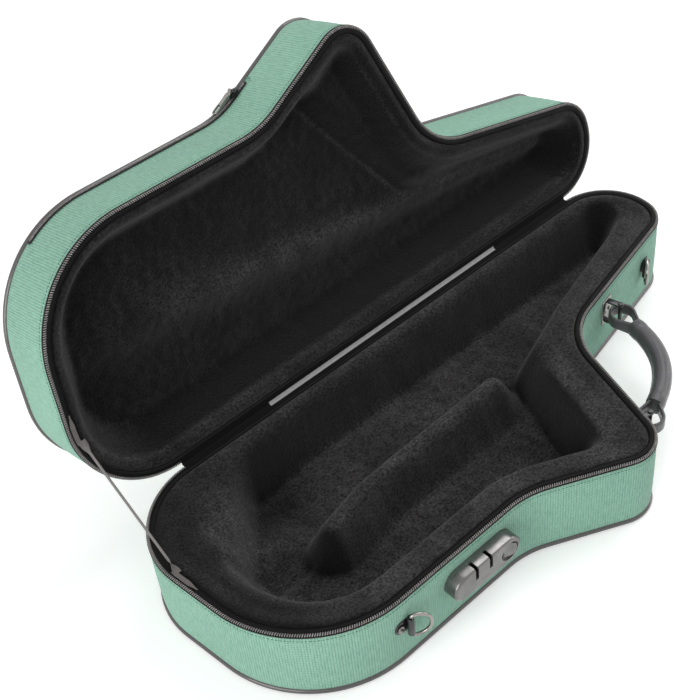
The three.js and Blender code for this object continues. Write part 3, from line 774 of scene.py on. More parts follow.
class Recipe:
    """Adds and links the nodes of one tree."""

    def __init__(self, tree: Tree) -> None:
        """Takes a node tree to work on."""
        self.tree = tree

    def plug(self, node: bpy.types.Node, inputs: dict[str | int, object]) -> None:
        """Links or sets the inputs of a node.

        Args:
            node: the node.
            inputs: a value or an output socket for each input.
        """
        for key, value in inputs.items():
            if isinstance(value, Socket):
                self.tree.links.new(value, node.inputs[key])
            else:
                node.inputs[key].default_value = value

    def add(self, kind: str, inputs: dict[str | int, object] | None = None,
            **settings: object) -> bpy.types.Node:
        """Adds a node.

        Args:
            kind: its type, without ShaderNode.
            inputs: values or output sockets for its inputs.
            settings: its properties.

        Returns:
            The node.
        """
        node = self.tree.nodes.new(f"ShaderNode{kind}")
        for key, value in settings.items():
            setattr(node, key, value)
        self.plug(node, inputs or {})
        return node

    def maths(self, operation: str, *values: object, clamp: bool = False) -> Socket:
        """The result of a Math node on numbers or sockets, held from 0 to 1 if it is to be."""
        return self.add("Math", dict(enumerate(values)), operation=operation, use_clamp=clamp).outputs[0]

    def mix(self, share: object, first: object, second: object) -> Socket:
        """Mixes two colours by a share."""
        return self.add("Mix", {"Factor": share, 6: first, 7: second}, data_type="RGBA").outputs[2]

    def span(self, value: Socket, low: float, high: float, to_low: float = 0, to_high: float = 1) -> Socket:
        """Stretches a value from one range to another, held at its ends."""
        return self.add("MapRange", {"Value": value, "From Min": low, "From Max": high,
                                     "To Min": to_low, "To Max": to_high}, clamp=True).outputs[0]

    def weigh(self, *terms: tuple[Socket, float]) -> Socket:
        """The sum of masks, each times its weight, held at 1."""
        total = 0.0
        for mask, weight in terms:
            total = self.maths("MULTIPLY_ADD", mask, weight, total, clamp=True)
        return total

    def clouds(self, place: Socket, scale: object, detail: float, **inputs: float) -> bpy.types.Node:
        """A noise texture. Further inputs go by their names."""
        return self.add("TexNoise", {"Vector": place, "Scale": scale, "Detail": detail, **inputs})

    def effect(self, tree: Tree, **inputs: object) -> bpy.types.NodeOutputs:
        """Places a shared effect in a material, and gives its outputs."""
        return self.add("Group", inputs, node_tree=tree).outputs

    def place(self) -> Socket:
        """Object coordinates."""
        return self.add("TexCoord").outputs["Object"]


Build = Callable[[Recipe, bpy.types.NodeOutputs], dict[str, Socket]]


def effect_group(name: str, inputs: dict[str, float | None], build: Build) -> Tree:
    """Makes a shader node group that puts out masks and heights.

    Args:
        name: the group's name.
        inputs: the default of each number that it takes, or None for a vector.
        build: adds its nodes, and gives the socket of each output.

    Returns:
        The group.
    """
    tree = bpy.data.node_groups.new(name, "ShaderNodeTree")
    for key, default in inputs.items():
        kind = "NodeSocketVector" if default is None else "NodeSocketFloat"
        socket = tree.interface.new_socket(key, in_out="INPUT", socket_type=kind)
        if default is not None:
            socket.default_value = default
    recipe = Recipe(tree)
    results = build(recipe, tree.nodes.new("NodeGroupInput").outputs)
    for key in results:
        tree.interface.new_socket(key, in_out="OUTPUT", socket_type="NodeSocketFloat")
    recipe.plug(tree.nodes.new("NodeGroupOutput"), results)
    return tree


class Effects:
    """The effects that finishes share, each a node group built once."""

    def __init__(self) -> None:
        """Builds the groups."""
        self.weave = effect_group("weave", {"Vector": None, "Pitch": 0.0009, "Unevenness": 0.3}, self._weave)
        self.nap = effect_group("nap", {"Tuft": 900.0, "Stroke": 45.0}, self._nap)
        self.grain = effect_group("grain", {"Scale": 700.0}, self._grain)
        self.handling = effect_group("handling", {"Scale": 12.0}, self._handling)

    @staticmethod
    def _weave(recipe: Recipe, given: bpy.types.NodeOutputs) -> dict[str, Socket]:
        """Over and under threads on a cloth's own map, the gaps between them and thicker threads."""
        wander = recipe.clouds(given["Vector"], 260.0, 2.0)
        slip = recipe.maths("MULTIPLY", wander.outputs["Fac"], given["Unevenness"])
        place = recipe.add("SeparateXYZ", {"Vector": given["Vector"]})
        waves = []
        for axis in (0, 1):
            turns = recipe.maths("ADD", recipe.maths("DIVIDE", place.outputs[axis], given["Pitch"]), slip)
            waves.append(recipe.maths("SINE", recipe.maths("MULTIPLY", turns, math.pi)))
        warp, weft = (recipe.maths("ABSOLUTE", wave) for wave in waves)
        lift = recipe.span(recipe.maths("MULTIPLY", *waves), -0.6, 0.6)
        under = recipe.maths("SUBTRACT", 1.0, lift)
        over, under = recipe.maths("MULTIPLY", warp, lift), recipe.maths("MULTIPLY", weft, under)
        stretched = recipe.add("Mapping", {"Vector": given["Vector"], "Scale": (420.0, 110.0, 1.0)})
        return {
            "Height": recipe.maths("ADD", over, under),
            "Gap": recipe.span(recipe.maths("MINIMUM", warp, weft), 0.0, 0.45, 1.0, 0.0),
            "Slub": recipe.clouds(stretched.outputs[0], 1.0, 3.0).outputs["Fac"],
        }

    @staticmethod
    def _nap(recipe: Recipe, given: bpy.types.NodeOutputs) -> dict[str, Socket]:
        """Pile laid by a brush: its tufts, where it lies another way, and its flecks."""
        place = recipe.place()
        fine = recipe.clouds(place, given["Tuft"], 3.0, Roughness=0.6).outputs["Fac"]
        coarse = recipe.clouds(place, 480.0, 3.0, Roughness=0.7).outputs["Fac"]
        strokes = recipe.clouds(place, given["Stroke"], 4.0, Roughness=0.62, Distortion=0.25).outputs["Fac"]
        return {
            "Height": recipe.maths("ADD", fine, recipe.maths("MULTIPLY", coarse, 1.2)),
            "Stroke": recipe.span(strokes, 0.38, 0.66),
            "Fleck": recipe.span(coarse, 0.35, 0.72),
        }

    @staticmethod
    def _grain(recipe: Recipe, given: bpy.types.NodeOutputs) -> dict[str, Socket]:
        """Pebbled leather: its pebbles, and the creases between them."""
        place = recipe.place()
        wander = recipe.clouds(place, 320.0, 2.0).outputs["Color"]
        soft = recipe.add("VectorMath", {0: wander, "Scale": 0.0006}, operation="SCALE").outputs[0]
        bent = recipe.add("VectorMath", {0: place, 1: wander, 2: soft}, operation="MULTIPLY_ADD").outputs[0]
        cells = recipe.add("TexVoronoi", {"Vector": bent, "Scale": given["Scale"]},
                           feature="DISTANCE_TO_EDGE")
        height = recipe.span(cells.outputs["Distance"], 0.0, 0.28)
        return {"Height": height, "Crease": recipe.maths("SUBTRACT", 1.0, height)}

    @staticmethod
    def _handling(recipe: Recipe, given: bpy.types.NodeOutputs) -> dict[str, Socket]:
        """Uneven wear from hands and shelves, broad and soft or fine."""
        place = recipe.place()
        return {
            "Cloud": recipe.span(recipe.clouds(place, given["Scale"], 4.0).outputs["Fac"], 0.35, 0.68),
            "Speck": recipe.span(recipe.clouds(place, 900.0, 2.0).outputs["Fac"], 0.55, 0.75),
        }


EFFECTS = Effects()
Pattern = tuple[Socket, Socket, dict[str, object]]


def rgba(colour: Colour) -> tuple[float, float, float, float]:
    """A linear colour from one written as 0 to 255."""
    linear = [((c / 255 + 0.055) / 1.055) ** 2.4 if c > 10 else c / 255 / 12.92 for c in colour]
    return (*linear, 1.0)


@dataclass(frozen=True)
class Finish:
    """A finish: the slot it stands for, its colours and how rough it is."""

    name: str
    slot: str
    colour: Colour
    shade: Colour
    roughness: float
    bump: float = 0.4
    depth: float = 0.0002

    def pattern(self, recipe: Recipe) -> Pattern:
        """The share of the second colour, the height, and the shader's own inputs."""
        raise NotImplementedError

    def uneven(self, recipe: Recipe, cloud: Socket, less: float, more: float) -> Socket:
        """A roughness that wanders with a mask."""
        return recipe.span(cloud, 0.0, 1.0, self.roughness - less, self.roughness + more)

    @cache
    def material(self) -> bpy.types.Material:
        """The material, built once."""
        material = bpy.data.materials.new(self.name)
        material.use_nodes = True
        recipe = Recipe(material.node_tree)
        share, height, inputs = self.pattern(recipe)
        bump = recipe.add("Bump", {"Height": height, "Strength": self.bump, "Distance": self.depth})
        recipe.plug(material.node_tree.nodes["Principled BSDF"], {
            "Base Color": recipe.mix(share, rgba(self.colour), rgba(self.shade)),
            "Roughness": self.roughness,
            "Normal": bump.outputs[0],
            **inputs,
        })
        return material


@dataclass(frozen=True)
class Cloth(Finish):
    """Woven cloth that reads its piece's own map."""

    pitch: float = 0.9 * MM
    sheen: float = 0.15
    gap_share: float = 0.5

    def pattern(self, recipe: Recipe) -> Pattern:
        """Threads, darker in their gaps and where hands touch."""
        cloth = recipe.add("UVMap", uv_map="UVMap").outputs[0]
        weave = recipe.effect(EFFECTS.weave, Vector=cloth, Pitch=self.pitch)
        hands = recipe.effect(EFFECTS.handling, Scale=9.0)
        slub = recipe.span(weave["Slub"], 0.36, 0.64)
        share = recipe.weigh((weave["Gap"], self.gap_share), (slub, 0.18), (hands["Speck"], 0.2),
                             (hands["Cloud"], 0.12))
        return share, weave["Height"], {"Sheen Weight": self.sheen, "Sheen Roughness": 0.4}


@dataclass(frozen=True)
class Plush(Finish):
    """Short pile, laid by a brush."""

    tuft: float = 900.0
    stroke: float = 24.0

    def pattern(self, recipe: Recipe) -> Pattern:
        """Pile that is pale where the brush lifts it and where light is painted on it, and dark where shade
        is painted.
        """
        nap = recipe.effect(EFFECTS.nap, Tuft=self.tuft, Stroke=self.stroke)
        # The stored share carries painted light and shade as well as the brushing of the pile
        pile_and_painted_light = recipe.add("Attribute", attribute_name="pile_and_painted_light").outputs["Fac"]
        pile_and_light_share = recipe.maths("MULTIPLY", pile_and_painted_light, recipe.span(nap["Stroke"], 0.0, 1.0, 0.65, 1.4))
        fleck = recipe.span(nap["Fleck"], 0.0, 1.0, 0.1, 1.9)
        share = recipe.maths("MULTIPLY", recipe.maths("MAXIMUM", pile_and_light_share, 0.05), fleck, clamp=True)
        return share, nap["Height"], {"Sheen Weight": 0.12, "Sheen Roughness": 0.5,
                                      "Specular IOR Level": 0.05}


@dataclass(frozen=True)
class Leather(Finish):
    """Pebbled leather and leathercloth."""

    scale: float = 700.0
    coat: float = 0.0
    specular: float = 0.5

    def pattern(self, recipe: Recipe) -> Pattern:
        """Pebbles, darker in their creases and where hands touch."""
        grain = recipe.effect(EFFECTS.grain, Scale=self.scale)
        cloud = recipe.effect(EFFECTS.handling, Scale=30.0)["Cloud"]
        share = recipe.weigh((grain["Crease"], 0.7), (cloud, 0.3))
        return share, grain["Height"], {"Roughness": self.uneven(recipe, cloud, 0.06, 0.08),
                                        "Coat Weight": self.coat, "Specular IOR Level": self.specular}


@dataclass(frozen=True)
class Hard(Finish):
    """Metal, painted metal and moulded plastic."""

    metallic: float = 0.0
    coat: float = 0.0
    speck: float = 0.25

    def pattern(self, recipe: Recipe) -> Pattern:
        """A smooth face with clouds and specks of wear."""
        hands = recipe.effect(EFFECTS.handling, Scale=55.0)
        share = recipe.maths("MULTIPLY", hands["Cloud"], 0.5)
        height = recipe.maths("MULTIPLY", hands["Speck"], self.speck)
        return share, height, {"Roughness": self.uneven(recipe, hands["Cloud"], 0.04, 0.06),
                               "Metallic": self.metallic, "Coat Weight": self.coat}


CANVAS = Cloth("green_canvas", "canvas", (153, 200, 178), (60, 108, 90), 0.85, 0.9, 0.0005, pitch=2.4 * MM,
               gap_share=0.62)
SEAM = Hard("green_thread", "canvas", (104, 148, 130), (72, 112, 96), 0.7)
TAPE = Cloth("zip_tape", "trim", (22, 22, 24), (7, 7, 8), 0.85, 0.4, 0.0001, pitch=0.6 * MM, sheen=0.03)
WEBBING = Cloth("grey_webbing", "webbing", (166, 166, 166), (112, 112, 112), 0.85, 0.5, 0.0002,
                pitch=0.8 * MM)
RIBBON = Cloth("stay_ribbon", "trim", (104, 99, 97), (58, 55, 54), 0.6, 0.4, 0.0001, pitch=0.5 * MM)
PIPING = Leather("black_piping", "trim", (82, 78, 78), (46, 43, 43), 0.24, 0.25, 0.0001, scale=900.0,
                 coat=0.7)
BAND = Leather("rim_facing", "trim", (12, 12, 14), (7, 7, 8), 0.6, 0.25, 0.0001, scale=1100.0, specular=0.12)
PLUSH = Plush("black_plush", "plush", (9, 9, 11), (90, 88, 88), 0.95, 0.9, 0.0008)
FOAM = Hard("shell_foam", "foam", (182, 178, 168), (160, 156, 146), 0.95)
LEATHER = Leather("handle_leather", "leather", (84, 81, 85), (40, 38, 41), 0.34, 0.4, 0.0002, scale=620.0,
                  coat=0.3)
COIL = Hard("zip_coil", "zipper", (150, 146, 144), (96, 93, 92), 0.3, 0.2, 0.00005, coat=0.4)
STEEL = Hard("bright_steel", "steel", (158, 154, 150), (52, 50, 49), 0.2, 0.1, 0.00005, metallic=1.0)
GRAPHITE = Hard("graphite_paint", "graphite", (128, 126, 125), (80, 79, 78), 0.27, 0.3, 0.00005,
                metallic=0.85, speck=0.5)
BLACK = Hard("black_metal", "graphite", (30, 30, 32), (18, 18, 19), 0.3, 0.2, 0.00005, metallic=0.3, coat=0.3)
THREAD = Hard("dark_thread", "leather", (96, 98, 102), (60, 62, 66), 0.6)


def dress(obj: Mesh, finish: Finish) -> Mesh:
    """Gives a piece its finish."""
    obj.data.materials.clear()
    obj.data.materials.append(finish.material())
    for polygon in obj.data.polygons:
        polygon.material_index = 0
    return obj


def settle(obj: Mesh, finish: Finish, body: str, *nodes: str, angle: float = 50) -> Mesh:
    """Smooths and dresses a piece, lets it ride on a body and stand for CAD nodes.

    Args:
        obj: the piece.
        finish: its finish.
        body: the body that it rides on.
        nodes: the CAD nodes that it stands for.
        angle: edges sharper than this, in degrees, stay crisp.

    Returns:
        The piece.
    """
    dress(smooth(obj, angle), finish)
    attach(obj, body)
    if nodes:
        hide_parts(*nodes)
    LOG.info("%s rides on %s", obj.name, body)
    return obj


def fitted(name: str, parts: list[Mesh], matrix: Matrix, finish: Finish, body: str, *nodes: str,
           angle: float = 40) -> Mesh:
    """Joins the clean parts of a hard piece, takes it to its place and settles it.

    Args:
        name: the piece's name.
        parts: its meshes.
        matrix: its place.
        finish: its finish.
        body: the body that it rides on.
        nodes: the CAD nodes that it stands for.
        angle: edges sharper than this, in degrees, stay crisp.

    Returns:
        The piece.
    """
    obj = joined(name, [clean(part) for part in parts])
    return settle(moved(obj, matrix), finish, body, *nodes, angle=angle)


# The studio


@dataclass
class Studio:
    """Camera, floor and soft light. Each lamp has its name, place, size and power."""

    camera_place: tuple[float, float, float] = (-0.6239, -0.6032, 0.9912)
    camera_back: tuple[float, float, float] = (-0.4394, -0.5738, 0.6911)
    roll: float = math.radians(-6.84)
    focal_pixels: float = 1390.0
    image_height: float = 700.0
    sensor: float = 36.0
    floor_size: float = 12.0
    floor_glow: float = 0.3
    sky: Span = (0.55, 1.0)
    lamps: tuple[tuple[str, tuple[float, float, float], float, float], ...] = (
        ("key", (1.2, 0.3, 1.9), 1.3, 17.0),
        ("fill", (-2.35, -0.5, 1.0), 1.6, 34.0),
        ("rim", (2.0, -0.5, 0.7), 1.0, 7.0),
    )

    def set_camera(self) -> None:
        """Stands the camera where the photograph was taken from."""
        forward = -Vector(self.camera_back).normalized()
        level = forward.cross(Vector((0, 0, 1))).normalized()
        upright = level.cross(forward)
        cos, sin = math.cos(self.roll), math.sin(self.roll)
        right, up = cos * level + sin * upright, cos * upright - sin * level
        data = bpy.data.cameras.new("camera")
        data.sensor_width = self.sensor
        data.lens = self.focal_pixels * self.sensor / self.image_height
        data.clip_end = 50
        camera = linked("camera", data)
        camera.matrix_world = shift(*self.camera_place) @ Matrix((right, up, -forward)).transposed().to_4x4()
        bpy.context.scene.camera = camera

    @staticmethod
    def _seen(recipe: Recipe) -> Socket:
        """1 for the rays that see a surface from the camera, in a mirror or through glass, and else 0."""
        rays = recipe.add("LightPath").outputs
        seen = recipe.maths("MAXIMUM", rays["Is Camera Ray"], rays["Is Glossy Ray"])
        return recipe.maths("MAXIMUM", seen, rays["Is Transmission Ray"])

    def lay_floor(self) -> None:
        """A pale floor that looks white where nothing shades it."""
        deselect()
        bpy.ops.mesh.primitive_plane_add(size=self.floor_size, location=(0, 0, 0))
        floor = named("floor")
        material = bpy.data.materials.new("floor_paint")
        material.use_nodes = True
        recipe = Recipe(material.node_tree)
        recipe.plug(material.node_tree.nodes["Principled BSDF"], {
            "Base Color": (0.96, 0.96, 0.96, 1),
            "Roughness": 0.9,
            "Specular IOR Level": 0.0,
            "Emission Color": (1, 1, 1, 1),
            "Emission Strength": recipe.maths("MULTIPLY", self._seen(recipe), self.floor_glow),
        })
        floor.data.materials.append(material)

    def hang_lights(self) -> None:
        """A white sky, and three soft lamps."""
        world = bpy.context.scene.world = bpy.data.worlds.new("studio")
        world.use_nodes = True
        recipe = Recipe(world.node_tree)
        strength = recipe.span(self._seen(recipe), 0.0, 1.0, *self.sky)
        recipe.plug(world.node_tree.nodes["Background"], {"Color": (1, 1, 1, 1), "Strength": strength})
        for name, place, size, power in self.lamps:
            data = bpy.data.lights.new(name, "AREA")
            data.size = size
            data.energy = power
            lamp = linked(name, data)
            lamp.location = place
            lamp.rotation_euler = (-Vector(place)).to_track_quat("-Z", "Y").to_euler()


# The two halves


@dataclass
class Lining:
    """Plush over moulded foam: borders, slopes and depths of the hollows of both halves."""

    half: Half
    border_drop: float = 4 * MM
    inset: float = 7.6 * MM
    wall_inset: float = 11 * MM
    lip_near: float = 1.9 * MM
    lip_far: float = 3.4 * MM
    lip_round: float = 1.0 * MM
    lip_run: float = 14 * MM
    blend: float = 3.6 * MM
    cell: float = 2.6 * MM
    floor_gap: float = 9.9 * MM
    roll: float = 3.4 * MM
    hinge_border: float = 9 * MM
    front_border: float = 26 * MM
    hollow_slope: float = 27 * MM
    hinge_slope: float = 30 * MM
    bow_slope: float = 50 * MM
    body_depth: float = 56 * MM
    bell_depth: float = 52 * MM
    ridge_depth: float = 12 * MM
    saddle_depth: float = 26 * MM
    pocket_depth: float = 9 * MM
    lid_border: float = 12 * MM
    lid_slope: float = 26 * MM
    lid_depth: float = 33 * MM
    lid_channel: float = 13 * MM
    lid_facet: float = 14 * MM
    lid_crease_runs: Span = (46 * MM, 16 * MM)
    bow_reach: Span = (0.06, 0.21)
    channel_front: tuple[Span, ...] = (
        (0.04, 0.56), (0.54, 0.56), (0.62, 0.45), (0.735, 0.36), (0.962, 0.215),
    )
    channel_end: float = 0.965
    bell_start: float = 0.3
    ridge: tuple[Span, ...] = ((0.212, 0.472), (0.3, 0.43), (0.44, 0.418), (0.553, 0.41))
    ridge_top: float = 3 * MM
    ridge_slope: float = 27 * MM
    bow_wall: Line = ((0.032, 0.19), (0.282, 0.1))
    bow_wall_slope: float = 30 * MM
    bow_shelf: float = 0.3
    saddle: Corner = Corner(0.585, 0.41, 0.2)
    bell_side: Line = ((0.44, 0.632), (0.83, 0.572))
    bell_side_slope: float = 24 * MM
    bow_pocket: Corner = Corner(0.21, 0.2, 0.2)
    bell_pocket: Corner = Corner(0.52, 0.65, 0.19)
    lid_crease: Line = ((0.15, 0.44), (0.715, 0.274))
    facet_line: Line = ((0.73, 0.525), (0.4, 0.62))
    lid_crease_reach: Span = (0.1, 0.8)
    lid_bow_share: float = 0.6
    lip_power: float = 2.5
    beyond: float = 0.2
    # Unevenness: heights, and the scale and layer of the noise. The pucker's grows on the slopes, in mm
    pillow: float = 0.7 * MM
    pillow_noise: Span = (38, 2.0)
    pucker: Span = (0.25, 0.55)
    pucker_depth: float = 30 * MM
    pucker_noise: Span = (130, 7.0)
    # Brushing of the pile and painted light and shade, as a lighter share: everywhere, on the border, and on
    # faces turned to the neck, to the hinge and steeply
    base_pile_and_light: tuple[float, ...] = (0.33, 0.03, 0.42, 0.14, -0.16)
    lid_pile_and_light: tuple[float, ...] = (0.09, 0.1, 0.25, 0, -0.08)
    # And on the ridge, in the bow's pocket, at the bow's end and on the border there: a painted highlight on
    # the ridge and at the bow's end, painted shade in the pocket and on that border
    base_pile_and_light_places: tuple[float, ...] = (0.14, -0.24, 0.26, -0.52)
    # And along the lid's crease, inside its border and along its facet: painted highlights on these lines
    lid_pile_and_light_places: tuple[float, ...] = (0.26, 0.2, 0.2)

    def _pocket(self, spots: np.ndarray, place: Corner) -> np.ndarray:
        """How far a round pocket has fallen at each spot."""
        reach = place.radius * SIZES.width
        away = np.linalg.norm(spots - OUTLINE.plan(place.along, place.across), axis=1)
        return fall(reach - away, reach)

    def _on_ridge(self, spots: np.ndarray) -> np.ndarray:
        """How far each spot stands up on the ridge between the hollows, from 0 to 1."""
        line = np.array([OUTLINE.plan(*place) for place in self.ridge])
        return 1 - fall(distance_to(spots, line) - self.ridge_top, self.ridge_slope)

    @staticmethod
    def _line(given: np.ndarray, ends: Line) -> np.ndarray:
        """The share along or across the case where a straight line in plan crosses a share of the other."""
        (low, start), (high, end) = ends
        return start + (end - start) * (given - low) / (high - low)

    @staticmethod
    def _shares(spots: np.ndarray) -> tuple[np.ndarray, np.ndarray]:
        """How far along the case and across it from the hinge each spot lies, from 0 to 1."""
        return spots[:, 0] / SIZES.length + 0.5, (SIZES.width / 2 - spots[:, 1]) / SIZES.width

    @staticmethod
    def _ripple(spots: np.ndarray, scale: float, layer: float) -> np.ndarray:
        """Smooth unevenness at each spot, from -1 to 1."""
        return np.array([noise.noise(Vector((x * scale, y * scale, layer))) for x, y in spots])

    def _base(self, spots: np.ndarray, inside: np.ndarray) -> np.ndarray:
        """Depth of the base's hollows below its border.

        Args:
            spots: plan places, in rows.
            inside: how far each lies from the edge.

        Returns:
            One depth for each.
        """
        along, across = self._shares(spots)
        from_hinge = SIZES.width / 2 - spots[:, 1]
        reach_start, reach_end = self.bow_reach
        to_bow = 1 - fall(along - reach_start, reach_end - reach_start)
        slope = self.hollow_slope + (self.bow_slope - self.hollow_slope) * to_bow
        end = fall(inside - self.hinge_border - (self.front_border - self.hinge_border) * to_bow, slope)
        front = fall(inside - self.front_border, slope)
        wall = fall((along - self._line(across, self.bow_wall)) * SIZES.length, self.bow_wall_slope)
        end = end * (self.bow_shelf + (1 - self.bow_shelf) * wall)
        edge = np.interp(along, *np.array(self.channel_front).T) * SIZES.width
        body = fall(from_hinge - self.hinge_border, self.hinge_slope) * end
        body = body * fall(edge - from_hinge, self.hollow_slope)
        body = body * fall((self.channel_end - along) * SIZES.length, self.hollow_slope)
        bell = front * fall(from_hinge - self.bell_start * SIZES.width, self.hollow_slope)
        bell = bell * fall((self._line(across, self.bell_side) - along) * SIZES.length, self.bell_side_slope)
        saddle = front * self._pocket(spots, self.saddle)
        depths = [body * self.body_depth, bell * self.bell_depth, saddle * self.saddle_depth]
        deepest = np.log(sum(np.exp(depth / self.blend) for depth in depths) / len(depths)) * self.blend
        pockets = body * self._pocket(spots, self.bow_pocket) + bell * self._pocket(spots, self.bell_pocket)
        tray = np.maximum(deepest, 0) + pockets * self.pocket_depth
        return tray - self._on_ridge(spots) * np.maximum(tray - self.ridge_depth, 0)

    def _lid(self, spots: np.ndarray, inside: np.ndarray) -> np.ndarray:
        """Depth of the lid's hollow below its border.

        Args:
            spots: plan places, in rows.
            inside: how far each lies from the edge.

        Returns:
            One depth for each.
        """
        along, across = self._shares(spots)
        below = (across - self._line(along, self.lid_crease)) * SIZES.width
        opened = fall(inside - self.lid_border, self.lid_slope)
        bow_run, neck_run = self.lid_crease_runs
        run = bow_run + (neck_run - bow_run) * np.clip(along, *self.lid_crease_reach)
        deeper = self.lid_bow_share + (1 - self.lid_bow_share) * np.clip(along, 0, 1)
        channel = fall(-below / run, 1) * deeper
        facet = fall(below, self.lid_slope)
        facet = facet * fall((along - self._line(across, self.facet_line)) * SIZES.length, self.lid_slope)
        return opened * (self.lid_depth + channel * self.lid_channel - facet * self.lid_facet)

    def drop(self, spots: np.ndarray) -> np.ndarray:
        """How far the plush lies from the parting plane.

        Args:
            spots: plan places, in rows.

        Returns:
            One depth for each.
        """
        inside = distance_to(spots, OUTLINE.closed)
        hollow = self._base(spots, inside) if self.half is Half.BASE else self._lid(spots, inside)
        past = inside - self.inset
        edge = np.clip((self.roll - past) / self.roll, 0, 1)
        crown = fall(past - self.roll, self.lip_run)
        rolled = self.lip_near + (self.border_drop - self.lip_near) * crown
        rolled += self.lip_round * edge**self.lip_power
        flat, steeper = self.pucker
        pucker = (flat + steeper * np.clip(hollow / self.pucker_depth, 0, 1)) * MM
        soft = self.pillow * self._ripple(spots, *self.pillow_noise)
        soft += pucker * self._ripple(spots, *self.pucker_noise)
        return rolled + hollow + soft * np.clip(past / self.roll, 0, 1)

    def _store_pile_and_light(self, obj: Mesh) -> None:
        """Stores a share of brushing and painted light and shade: painted light on the border, the ridge and
        faces turned to the neck and the hinge, painted shade on steep slopes and in the bow's pocket.
        """
        mesh = obj.data
        spots = np.array([vertex.co for vertex in mesh.vertices])
        faces = np.array([vertex.normal for vertex in mesh.vertices])
        along, across = self._shares(spots)
        border = 1 - fall(spots[:, 2] - self.border_drop - 1.5 * MM, 9 * MM)
        level, rim, to_neck, to_hinge, steep = self.base_pile_and_light if self.half is Half.BASE else self.lid_pile_and_light
        # Painted light and shade: lighter on the border and on faces turned to the neck and the hinge, darker
        # on steep faces
        pile_and_painted_light = level + rim * border + to_neck * faces[:, 0] + to_hinge * faces[:, 1]
        pile_and_painted_light += steep * (1 - np.abs(faces[:, 2]))
        if self.half is Half.BASE:
            ridge, pocket, bow, bow_rim = self.base_pile_and_light_places
            # Painted highlight on the ridge and at the bow's end, painted shade in the bow's pocket and on
            # the border there
            pile_and_painted_light += ridge * self._on_ridge(spots[:, :2]) ** 4
            pile_and_painted_light += pocket * self._pocket(spots[:, :2], self.bow_pocket) ** 2
            pile_and_painted_light += (1 - fall(along - 0.05, 0.13)) * (bow + bow_rim * border)
        else:
            crease, inner, facet = self.lid_pile_and_light_places
            below = across - self._line(along, self.lid_crease)
            width = np.interp(along, (0.2, 0.75), (24 * MM, 4 * MM))
            past = (along - self._line(across, self.facet_line)) * SIZES.length
            on_crease = np.exp(-((below * SIZES.width / width) ** 2)) * fall(along - 0.1, 0.2)
            on_facet = np.exp(-((past / (3 * MM)) ** 2)) * fall(below, 0.05)
            # Painted highlights along the lid's crease and facet, and inside its border
            pile_and_painted_light += (crease * on_crease + facet * on_facet) * (1 - border)
            pile_and_painted_light += inner * np.exp(-(((spots[:, 2] - self.border_drop - 4 * MM) / (2.4 * MM)) ** 2))
        # The share of brushing and painted light and shade, for the plush's material
        store = mesh.attributes.new("pile_and_painted_light", "FLOAT", "POINT")
        store.data.foreach_set("value", np.clip(pile_and_painted_light, 0, 1).astype(np.float32))

    def build(self) -> None:
        """Grids the hollow, closes it below, trims it to the rim and dresses it."""
        deselect()
        bpy.ops.mesh.primitive_grid_add(x_subdivisions=round(SIZES.length / self.cell),
                                        y_subdivisions=round(SIZES.width / self.cell), size=1)
        obj = named(self.half.piece("plush"))
        mesh = obj.data
        flat = np.zeros(len(mesh.vertices) * 3)
        mesh.vertices.foreach_get("co", flat)
        flat = flat.reshape(-1, 3) * (SIZES.length, SIZES.width, 0)
        flat[:, 2] = self.drop(flat[:, :2])
        mesh.vertices.foreach_set("co", flat.ravel())
        with editing(obj):
            bpy.ops.mesh.region_to_loop()
            bpy.ops.mesh.extrude_edges_indiv()
            shape = bmesh.from_edit_mesh(mesh)
            for vertex in shape.verts:
                if vertex.select:
                    vertex.co.z = SIZES.height(self.half) - self.floor_gap
            bmesh.update_edit_mesh(mesh)
            bpy.ops.mesh.edge_face_add()
        trim = [OUTLINE.ring(self.inset, away) for away in (-5 * MM, self.beyond)]
        boolean(clean(obj), filled(grown("trimmer", trim, section_closed=False)), "INTERSECT")
        outer = self.inset - 5 * MM
        under = [(outer, self.lip_far), (self.wall_inset, self.lip_far), (self.wall_inset, self.beyond),
                 (outer, self.beyond)]
        boolean(obj, grown("under", [OUTLINE.ring(*corner) for corner in under]))
        self._store_pile_and_light(clean(obj))
        moved(obj, SIZES.matrix(self.half))
        settle(obj, PLUSH, self.half.value, self.half.piece("lining"))


